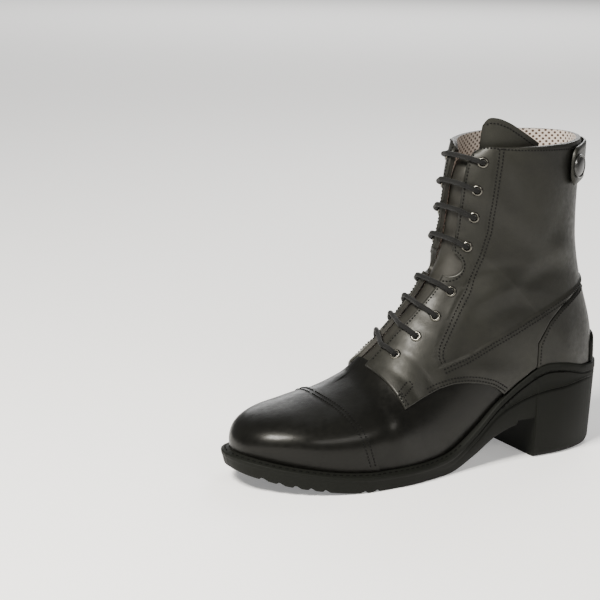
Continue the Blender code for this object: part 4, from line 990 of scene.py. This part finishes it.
def buildSpurRest(piece):
    turns = np.radians(np.linspace(-piece["turn"], piece["turn"], 61))
    share, rounding = np.array(piece["rounding"]).T
    inner = np.zeros((len(turns), len(share), 3))
    outer = np.zeros_like(inner)
    for i, turn in enumerate(turns):
        n = np.array([-math.cos(turn), math.sin(turn), 0.0])
        fade = 1.0 - abs(i - 30) / 30.0
        high = piece["top"] - piece["endDrop"] * (1.0 - ease(fade * 3.0))
        centre = np.array([piece["centre"], 0.0, 0.0])
        point = wallAt(upperTree, centre, n, 60.0)
        low = max(soleEdge(point[0], -1), soleEdge(point[0], 1)) + 0.3
        for j, k in enumerate(share):
            point = wallAt(upperTree, centre, n, low + (high - low) * k)
            thick = piece["thick"] * rounding[j] * (0.4 + 0.6 * ease(fade * 12.0))
            inner[i, j] = point + n * piece["seat"]
            outer[i, j] = point + n * (piece["seat"] + 0.05 + thick)
    verts, faces = sheetParts(outer, inner, True)
    newPiece("spur_rest_ledge", verts, faces, [soleRubber], "black_leather", ["spur_rest"], sharp=60.0)


buildSpurRest(spurPiece)


# Strap over the zip: sewn on the inner side, snapped on the outer side.

strapPiece = {"low": 184.0, "high": 210.0, "thick": 2.0, "stand": 4.3, "rest": 1.95, "endLift": 1.4,
              "from": 128.0, "to": 238.0, "endRound": 13.0}


# Place off the shaft in the direction turn, seen from the shaft's middle.
def strapPlace(turn, z, off):
    n = np.array([math.cos(turn), math.sin(turn), 0.0])
    hit, _ = hitFrom(upperTree, np.array([shaftCentre, 0.0, z]) + n * 120.0, -n, 160.0)
    return hit + n * off, n


def buildStrap(piece):
    turns = np.radians(np.linspace(piece["from"], piece["to"], 111))
    across = np.array([-1.0, -0.97, -0.9, -0.75, -0.5, -0.25, 0.0, 0.25, 0.5, 0.75, 0.9, 0.97, 1.0])
    mid = 0.5 * (piece["low"] + piece["high"])
    half = 0.5 * (piece["high"] - piece["low"])
    inner = np.zeros((len(turns), len(across), 3))
    outer = np.zeros_like(inner)
    lines = []
    for i, turn in enumerate(turns):
        around = math.degrees(turn) - 180.0
        end = min(i, len(turns) - 1 - i) * 1.2
        shape = math.sqrt(max(1.0 - max(1.0 - (end + 0.15) / piece["endRound"], 0.0) ** 2, 0.0))
        tall = half * (0.12 + 0.88 * shape)
        off = piece["rest"] + piece["stand"] * math.exp(-(((around + 15.0) / 26.0) ** 2) ** 1.5)
        if around > 30.0:
            off += piece["endLift"] * ease((around - 30.0) / 25.0)
        for j, c in enumerate(across):
            z = mid + c * tall
            rounding = 1.0 - 0.55 * max(abs(c) - 0.9, 0.0) / 0.1
            if i in (0, len(turns) - 1):
                rounding = 0.45
            inner[i, j], n = strapPlace(turn, z, off)
            outer[i, j] = inner[i, j] + n * (piece["thick"] * rounding)
        lines.append((outer[i, 6], n, tall))
    verts, faces = sheetParts(outer, inner, False)
    newPiece("strap_band", verts, faces, [quarterLeather], "black_leather", ["strap"], sharp=65.0)
    return gridTree(outer), lines


strapTree, strapLines = buildStrap(strapPiece)


# Parts of a joined mesh: corners and faces of each are collected, then written once.
# A turned part is given by its profile as radius and height.
def turnedParts(centre, normal, profile, count=28, closed=False):
    side = unit(np.cross(normal, np.array([0.3, 0.1, 1.0])))
    up = np.cross(normal, side)
    turns = np.linspace(0.0, 2.0 * math.pi, count, endpoint=False)
    ring = np.cos(turns)[:, None] * side + np.sin(turns)[:, None] * up
    verts = np.concatenate([centre + ring * r + normal * h for r, h in profile])
    return verts, ringFaces(len(profile), count, ends=not closed, loop=closed)


def tubeParts(path, radius, count=12):
    path = np.asarray(path)
    tangents = unit(np.gradient(path, axis=0))
    side = unit(np.cross(tangents, np.array([0.05, 0.1, 1.0])))
    up = np.cross(side, tangents)
    turns = np.linspace(0.0, 2.0 * math.pi, count, endpoint=False)
    rings = (path[:, None] + radius * np.cos(turns)[None, :, None] * side[:, None]
             + radius * np.sin(turns)[None, :, None] * up[:, None])
    return rings.reshape(-1, 3), ringFaces(len(path), count)


def joinParts(parts):
    verts, faces, start = [], [], 0
    for v, f in parts:
        verts.append(np.asarray(v))
        faces += [tuple(k + start for k in face) for face in f]
        start += len(v)
    return np.concatenate(verts), faces


# Smooth curve through the points.
def smoothPath(points, count):
    points = np.asarray(points)
    table = np.concatenate([points[:1] * 2 - points[1:2], points, points[-1:] * 2 - points[-2:-1]])
    out = []
    for t in np.linspace(0.0, len(points) - 1.0001, count):
        i = int(t)
        u = t - i
        p0, p1, p2, p3 = table[i:i + 4]
        out.append(0.5 * (2 * p1 + (p2 - p0) * u + (2 * p0 - 5 * p1 + 4 * p2 - p3) * u**2
                          + (3 * p1 - p0 - 3 * p2 + p3) * u**3))
    return np.array(out)


# Snap cap on the strap's end: a domed disc in a rolled rim.

snapPiece = {"around": 47.0, "height": 197.0, "profile": (
    (7.7, -0.2), (8.0, 0.3), (8.0, 1.0), (7.8, 1.5), (7.3, 1.85), (6.8, 1.7), (6.5, 1.35),
    (6.1, 1.45), (5.2, 1.95), (3.6, 2.3), (1.6, 2.45), (0.1, 2.5))}


def buildSnap(piece):
    turn = math.radians(180.0 + piece["around"])
    lift = strapPiece["endLift"] * ease((piece["around"] - 30.0) / 25.0)
    off = strapPiece["rest"] + lift + strapPiece["thick"] + 0.1
    centre, n = strapPlace(turn, piece["height"], off)
    ahead, behind = [strapPlace(turn + step, piece["height"], off)[0] for step in (0.1, -0.1)]
    normal = unit(np.cross(unit(ahead - behind), np.array([0.0, 0.0, 1.0])))
    if np.dot(normal, n) < 0:
        normal = -normal
    verts, faces = turnedParts(centre, normal, piece["profile"], 48)
    newPiece("snap_cap", verts, faces, [snapBlack], "black_snap", ["snap_button"], sharp=40.0)


buildSnap(snapPiece)
print("strap made")


# Back zip: tapes, teeth, slider and hanging pull tab.

zipPiece = {"tape": (2.7, 11.6), "tapeRest": 0.5, "tapeThick": 0.9, "end": 3.0, "pitch": 1.05,
            "tooth": {"half": 0.42, "low": -0.9, "high": 2.15, "stagger": -1.25, "off": (0.7, 2.05)},
            "cord": {"places": (-2.3, 2.0), "wide": 0.3, "off": (0.6, 1.5)}}


# Place and outward direction over the back of the shaft, y to the side of the zip's middle.
def backPlace(z, y, off):
    hit, _ = hitFrom(upperTree, (-40.0, float(zipMiddle(z)) + y, z), (1.0, 0.0, 0.0), 100.0)
    lean = y / 34.0
    n = unit(np.array([-math.sqrt(max(1 - lean**2, 0.1)), lean, 0.0]))
    return hit + n * off, n


def buildTape(piece, name, low, high):
    heights = np.linspace(zipFoot + piece["end"], collarHeight - piece["end"], 70)
    across = np.linspace(low, high, 9)
    inner = np.zeros((len(heights), len(across), 3))
    outer = np.zeros_like(inner)
    for i, z in enumerate(heights):
        squeeze = 0.62 + 0.38 * ease(i / 7.0)
        for j, y in enumerate(across):
            y = low + (y - low) * squeeze if low > 0 else high + (y - high) * squeeze
            inner[i, j], n = backPlace(z, y, piece["tapeRest"])
            outer[i, j] = inner[i, j] + n * (piece["tapeThick"] + 0.08 * math.cos(z * 5.0))
    verts, faces = sheetParts(outer, inner, False)
    newPiece(name.replace("zip_tape", "tape"), verts, faces, [tapeBlack], "zip_tape", [name], sharp=60.0)


# Box over the back between two heights, with its far face drawn in a little.
def backBox(zLow, zHigh, yLow, yHigh, offs, pinch=0.0):
    corners = []
    for off, k in zip(offs, (0.0, pinch)):
        for z, dz in ((zLow, k), (zHigh, -k)):
            for y, dy in ((yLow, k), (yHigh, -k)):
                corners.append(backPlace(z + dz, y + dy, off)[0])
    faces = [(0, 1, 3, 2), (4, 6, 7, 5), (0, 4, 5, 1), (2, 3, 7, 6), (0, 2, 6, 4), (1, 5, 7, 3)]
    return np.array(corners), faces


# Slab over the back with a rounded outline, for the slider and the pull.
def backSlab(outline, offLow, offHigh, bevel=0.35):
    middle = np.mean(outline, axis=0)
    ring = []
    for off, k in ((offLow, 0.94), (offLow + bevel, 1.0), (offHigh - bevel, 1.0), (offHigh, 0.9)):
        ring += [backPlace(middle[1] + (z - middle[1]) * k, middle[0] + (y - middle[0]) * k, off)[0]
                 for y, z in outline]
    return np.array(ring), ringFaces(4, len(outline))


# Outline with rounded corners, given by its half-widths at the bottom and the top.
def roundOutline(halfLow, halfHigh, low, high, corner):
    outline = []
    for y, z, start in ((halfLow - corner, low + corner, -90.0), (halfHigh - corner, high - corner, 0.0),
                        (-halfHigh + corner, high - corner, 90.0), (-halfLow + corner, low + corner, 180.0)):
        for turn in np.radians(start + np.linspace(0.0, 90.0, 7)):
            outline.append((y + corner * math.cos(turn), z + corner * math.sin(turn)))
    return outline


def buildZip(piece):
    near, far = piece["tape"]
    buildTape(piece, "zip_tape_outer", -far, -near)
    buildTape(piece, "zip_tape_inner", near, far)
    tooth, cord = piece["tooth"], piece["cord"]
    teeth = []
    z = zipFoot + piece["end"] + 0.6
    while z < collarHeight - piece["end"] - 0.6:
        y = tooth["stagger"] if len(teeth) % 2 else 0.0
        teeth.append(backBox(z - tooth["half"], z + tooth["half"], y + tooth["low"], y + tooth["high"],
                             tooth["off"], 0.12))
        z += piece["pitch"]
    for y in cord["places"]:
        teeth.append(backBox(zipFoot + piece["end"] + 0.1, collarHeight - piece["end"] - 0.1,
                             y, y + cord["wide"], cord["off"]))
    verts, faces = joinParts(teeth)
    newPiece("teeth", verts, faces, [gunmetal], "gunmetal", ["zip_teeth"], sharp=30.0)
    verts, faces = joinParts([backSlab(roundOutline(3.0, 3.9, 204.6, 211.0, 1.2), 2.2, 3.6),
                              backSlab(roundOutline(1.0, 1.0, 205.4, 209.6, 0.9), 3.4, 4.3)])
    newPiece("slider", verts, faces, [gunmetal], "gunmetal", ["zip_slider"], sharp=40.0)
    pull = backSlab(roundOutline(3.1, 2.4, 178.2, 203.4, 1.6), 2.7, 3.75)
    newPiece("pull_tab", *pull, [gunmetal], "gunmetal", ["zip_pull"], body="zip_pull", sharp=40.0)


buildZip(zipPiece)
print("zip made")


# Eyelets and laces.

eyeletPiece = {"bore": 2.0, "flange": 3.75, "rise": 0.95, "seat": 1.6}
lacePiece = {"radius": 1.65}


# Row and place of each eyelet of a pair, outer side first.
def eyeletRows():
    found = []
    rows = np.linspace(9.5, 28.8, 400)
    for off, z in eyeletPlaces:
        pair = []
        for side in (-1, 1):
            heights = [lastPoint(s, side, fromRidge(s, side, off))[2] for s in rows]
            best = rows[int(np.argmin(np.abs(np.array(heights) - z)))]
            pair.append((float(best), fromRidge(best, side, off)))
        found.append(pair)
    return found


def buildLacing():
    rings, boreShades, cords = [], [], []
    e = eyeletPiece
    for pair in eyeletRows():
        path = []
        for side, (s, a) in zip((-1, 1), pair):
            n = outward(s, side, a)
            start = lastPoint(s, side, a)
            hit, _ = hitFrom(shaftTree[side], start + n * 8.0, -n, 14.0)
            surface = float(np.dot(hit - start, n)) if hit is not None else e["seat"]
            seat = surface + 0.02
            r, w, h = e["bore"], e["flange"], e["rise"]
            profile = [(r, -wall + 0.6), (r, seat + 0.35 * h), (r + 0.2, seat + 0.8 * h),
                       (r + 0.6, seat + h), (r + 1.0, seat + 0.93 * h), (w - 0.35, seat + 0.55 * h),
                       (w - 0.05, seat + 0.25 * h), (w, seat - 0.05), (w - 0.3, seat - 0.3),
                       (r + 0.5, seat - 0.3), (r + 0.45, -wall + 0.6)]
            rings.append(turnedParts(start, n, profile, 36, True))
            # Painted shade: a dark disc behind the lace in the eyelet's bore stands in for the shade inside
            # the hole.
            boreShades.append(turnedParts(start, n, [(r + 0.1, surface - 0.3), (r + 0.1, surface + 0.12)], 24))
            top = seat + h + lacePiece["radius"] + 0.1
            rest = surface + lacePiece["radius"] + 0.35
            half = [start + n * (surface + 0.1), start + n * (surface + 0.9 + 0.2 * h)]
            toward = unit(lastPoint(s, side, min(a + 0.05, 1.0)) - start)
            half.append(start + n * (top - 0.35) + toward * 0.9)
            for share, lift in ((0.3, top + 0.1), (0.62, 0.6 * rest + 0.4 * top), (1.0, rest)):
                place = a + (1.0 - a) * share
                half.append(lastPoint(s, side, place) + outward(s, side, place) * lift)
            path += half if side < 0 else half[::-1]
        middle = 0.5 * (path[5] + path[6])
        middle[0] -= 0.15
        path = path[:6] + [middle] + path[6:]
        cords.append(tubeParts(smoothPath(path, 90), lacePiece["radius"], 16))
    verts, faces = joinParts(rings + boreShades)
    ringFaces = sum(len(f) for _, f in rings)
    faceMats = [0] * ringFaces + [1] * (len(faces) - ringFaces)
    numbers = range(1, len(eyeletPlaces) + 1)
    names = ["eyelet_%s_%d" % (where, k) for where in ("outer", "inner") for k in numbers]
    newPiece("eyelet_set", verts, faces, [gunmetal, edgeAndShadeLeather], "gunmetal", names, faceMats=faceMats,
             sharp=40.0)
    verts, faces = joinParts(cords)
    newPiece("lace_cords", verts, faces, [cordBlack], "lace_cord", ["lace_bar_%d" % k for k in numbers])


buildLacing()
print("laces made")


# Stitches: each one a short raised loop of thread sunk at both ends.

# Its loop is given as share of the length, height and share of the radius.
stitchPiece = {"pitch": 2.3, "share": 0.64, "radius": 0.45, "corners": 6, "loop": (
    (0.0, -0.3, 0.5), (0.14, 0.1, 0.95), (0.5, 0.22, 1.0), (0.86, 0.1, 0.95), (1.0, -0.3, 0.5))}
soleStitch = {"slotName": "sole_rubber", "pitch": 4.4, "share": 0.62}
# Distances of the seams from the edges that they follow, and the places of short ones.
seams = {"vamp": (1.8, 4.2), "eyestay": (1.6, 4.0), "facing": 2.4, "counter": 2.6, "zip": 2.2,
         "strap": (2.0, 4.4), "collarRow": 28.72, "capRows": (6.86, 6.68),
         "front": ((173.4, 49.6), (176.0, 58.0)),
         "tack": ((173.5, 58.5), (164.0, 64.8), (162.2, 61.6), (171.8, 55.6)),
         "waist": ((96.0, 38.0), (90.0, 42.5), (79.0, 50.0), (68.0, 57.6), (58.0, 60.0), (48.0, 59.0),
                   (40.0, 56.0))}
# How far off the leather the rays start that find a seam's place on it.
rayStart = 7.0
sideStart = 120.0
stitches = {"black_leather": [], "sole_rubber": []}


def stitchParts(start, end, n):
    along = unit(end - start)
    across = np.cross(n, along)
    length = np.linalg.norm(end - start)
    rings = []
    turns = np.linspace(0.0, 2.0 * math.pi, stitchPiece["corners"], endpoint=False)
    for share, high, size in stitchPiece["loop"]:
        r = stitchPiece["radius"] * size
        middle = start + along * length * share + n * high
        rings.append(middle + r * (np.cos(turns)[:, None] * across + np.sin(turns)[:, None] * n))
    return np.concatenate(rings), ringFaces(len(rings), stitchPiece["corners"])


def sewAlong(points, normals, slotName="black_leather", pitch=None, share=None):
    points, normals = np.asarray(points), np.asarray(normals)
    if len(points) < 3:
        return
    pitch = pitch or stitchPiece["pitch"]
    share = share or stitchPiece["share"]
    length = pathLength(points)

    def at(d):
        return np.array([np.interp(d, length, points[:, k]) for k in range(3)])

    for d in np.arange(0.3 * pitch, length[-1] - pitch, pitch):
        n = unit(np.array([np.interp(d + 0.4 * pitch, length, normals[:, k]) for k in range(3)]))
        stitches[slotName].append(stitchParts(at(d), at(d + pitch * share), n))


# Seam where the rays, each a start and a direction, meet the leather.
def sewOn(tree, rays, **more):
    points, normals = [], []
    for start, direction in rays:
        hit, n = hitFrom(tree, start, direction, 160.0)
        if hit is None or (points and np.linalg.norm(hit - points[-1]) > 8.0):
            if len(points) > 8:
                sewAlong(points, normals, **more)
            points, normals = [], []
            continue
        points.append(hit)
        normals.append(n if np.dot(n, direction) < 0 else -n)
    sewAlong(points, normals, **more)


# Seam line with close points and its corners rounded a little.
def densify(line, step=0.8):
    line = np.asarray(line, dtype=float)
    length = pathLength(line)
    at = np.linspace(0.0, length[-1], max(int(length[-1] / step), 4))
    return evenOut(np.stack([np.interp(at, length, line[:, k]) for k in range(2)], axis=1), 6)


def shiftLine(line, off):
    line = densify(line)
    t = unit(np.gradient(line, axis=0))
    return line + np.stack([-t[:, 1], t[:, 0]], axis=1) * off


# Side seam from forward and height, seen square from the side.
def sewSide(tree, side, line, off=0.0, **more):
    sewOn(tree, [((f, side * sideStart, z), (0.0, -side, 0.0)) for f, z in shiftLine(line, off)], **more)


# Ray onto the leather at a place of the last.
def rayOnto(s, side, a):
    n = outward(s, side, min(a, 1.97))
    return lastPoint(s, side, a) + n * rayStart, -n


# Half-width of the opening with the notch a little larger, for the seam that follows it.
def facingHalf(s):
    facing = np.array(facingRows)
    half = float(np.interp(s, facing[:, 0], facing[:, 1]))
    off = (s - notchRows[0]) / (notchRows[1] * 1.25)
    return half + (notch["deep"] + 1.0) * max(1.0 - off**2, 0.0) ** 0.5


def sewQuarter(side):
    quarter = shaftTree[side]
    vamp = [(86.0, 42.0)] + [(f, z) for f, z in vampCurve if 90.0 < f < 172.0]
    for off in seams["vamp"]:
        sewSide(quarter, side, vamp[::-1], -off)
        sewSide(quarter, side, seams["front"], off, pitch=2.6)
    for off in seams["eyestay"]:
        sewSide(quarter, side, eyestayLine, -off)
        sewSide(quarter, side, diagonalLine, off)
    facing = [(s, fromRidge(s, side, facingHalf(s) + seams["facing"])) for s in np.linspace(10.0, 28.7, 260)]
    sewOn(quarter, [rayOnto(s, side, a) for s, a in facing])
    tack = seams["tack"]
    for start, end in zip(tack, tack[1:] + tack[:1]):
        sewSide(quarter, side, (start, end), pitch=2.0)
    sewOn(quarter, [rayOnto(seams["collarRow"], side, a) for a in np.linspace(0.12, 0.985, 200)])
    besideZip = side * (zipHalf + seams["zip"])
    sewOn(quarter, [((-40.0, float(zipMiddle(z)) + besideZip, z), (1.0, 0.0, 0.0))
                    for z in np.linspace(zipFoot - 1.0, 209.0, 160)])


def sewCounter(side):
    front = [(counterFront - 2.4, 62.0), (counterFront - 2.2, 77.5)]
    sewSide(counterTree, side,
            front + [(f, z - seams["counter"]) for f, z in counterCurve if f > -1.0][::-1][1:])


def sewCap(side):
    for row in seams["capRows"]:
        places = [(row + float(capShift(row, a)), a) for a in np.linspace(0.1, 2.0, 120)]
        sewOn(upperTree, [rayOnto(s, side, a) for s, a in places])


# Moulded stitches on the welt's ledge and along the waist's groove.
def sewSole(side):
    ledge = [0.5 * (near + far) for near, far, _, _, s in welt[side] if 0.2 < s < 11.5]
    sewOn(soleTree, [(p + np.array([0.0, 0.0, 5.0]), (0.0, 0.0, -1.0)) for p in ledge], **soleStitch)
    sewSide(soleTree, side, seams["waist"], **soleStitch)


# Two seams inside the strap's sewn end, above and below its middle line.
def sewStrap(edge):
    for off in seams["strap"]:
        rays = []
        for k, (p, n, tall) in enumerate(strapLines[:20]):
            if k * 1.2 > off * 0.8:
                rays.append((p + n * 6.0 + np.array([0.0, 0.0, edge * max(tall - off, 0.0)]), -n))
        sewOn(strapTree, rays, pitch=2.6)


def sewTongue():
    top = [tongueGrid[-1][j] + np.array([18.0, 0.0, -3.6]) for j in range(2, 39)]
    sewOn(gridTree(tongueGrid), [(p, (-1.0, 0.0, 0.0)) for p in top])


for side in (-1, 1):
    for sew in (sewQuarter, sewCounter, sewCap, sewSole, sewStrap):
        sew(side)
sewTongue()
for slotName, mat, name in (("black_leather", threadBlack, "upper_stitches"),
                            ("sole_rubber", stitchShadeRubber, "sole_stitches")):
    verts, faces = joinParts(stitches[slotName])
    newPiece(name, verts, faces, [mat], slotName, sharp=70.0)
print("stitches made", {key: len(value) for key, value in stitches.items()})


# Stage

stagePiece = {"floor": 40.0, "glow": 0.26, "world": 0.22}
floorMat, _, _ = newMaterial("studio_floor", "#f4f3f1", 0.85)
bpy.ops.mesh.primitive_plane_add(size=stagePiece["floor"], location=(0.0, 0.0, 0.0))
floor = bpy.context.object
floor.name = "studio_floor"
floor.data.materials.append(floorMat)
glow = floorMat.node_tree.nodes["Principled BSDF"]
glow.inputs["Emission Color"].default_value = (1.0, 1.0, 1.0, 1.0)
glow.inputs["Emission Strength"].default_value = stagePiece["glow"]

world = bpy.data.worlds.new("studio")
bpy.context.scene.world = world
world.use_nodes = True
sky = world.node_tree.nodes["Background"]
sky.inputs["Color"].default_value = (1.0, 0.995, 0.985, 1.0)
sky.inputs["Strength"].default_value = stagePiece["world"]


def addLight(name, place, size, power, color=(1.0, 1.0, 1.0)):
    light = bpy.data.lights.new(name, "AREA")
    light.shape = "RECTANGLE"
    light.size, light.size_y = size
    light.energy = power
    light.color = color
    obj = bpy.data.objects.new(name, light)
    obj.location = place
    aim = Vector((0.0, 0.0, 0.08)) - Vector(place)
    obj.rotation_euler = aim.to_track_quat("-Z", "Y").to_euler()
    bpy.context.scene.collection.objects.link(obj)
    return obj


# Sizes and places of the stage are in metres, powers in watts.
addLight("key", (-0.95, -0.35, 1.2), (0.5, 0.4), 64.0, (1.0, 0.97, 0.91))
addLight("fill", (0.1, -1.5, 1.1), (0.8, 0.4), 9.0, (1.0, 0.97, 0.92))
addLight("rim", (0.9, 0.75, 1.0), (0.6, 0.6), 10.0)
addLight("backdrop", (1.6, 2.6, 0.9), (2.2, 0.8), 30.0)


cameraPiece = {"turn": 29.2, "down": 13.8, "roll": 1.03, "lens": 124.98, "shift": (-0.0033, -0.0017),
               "place": (-0.7213, -1.1317, 0.4383)}


# The photo's camera: it looks to the side and down, and is rolled a little.
def addCamera(piece):
    turn, down, roll = [math.radians(piece[key]) for key in ("turn", "down", "roll")]
    forward = np.array([math.sin(turn) * math.cos(down), math.cos(turn) * math.cos(down), -math.sin(down)])
    right = np.array([math.cos(turn), -math.sin(turn), 0.0])
    up = np.cross(right, forward)
    across = math.cos(roll) * right + math.sin(roll) * up
    above = math.cos(roll) * up - math.sin(roll) * right
    data = bpy.data.cameras.new("camera")
    data.sensor_width = 36.0
    data.lens = piece["lens"]
    data.shift_x, data.shift_y = piece["shift"]
    data.clip_end = 20.0
    obj = bpy.data.objects.new("camera", data)
    bpy.context.scene.collection.objects.link(obj)
    axes = np.stack([across, above, -forward, piece["place"]], axis=1)
    obj.matrix_world = Matrix([*axes.tolist(), [0.0, 0.0, 0.0, 1.0]])
    bpy.context.scene.camera = obj


addCamera(cameraPiece)
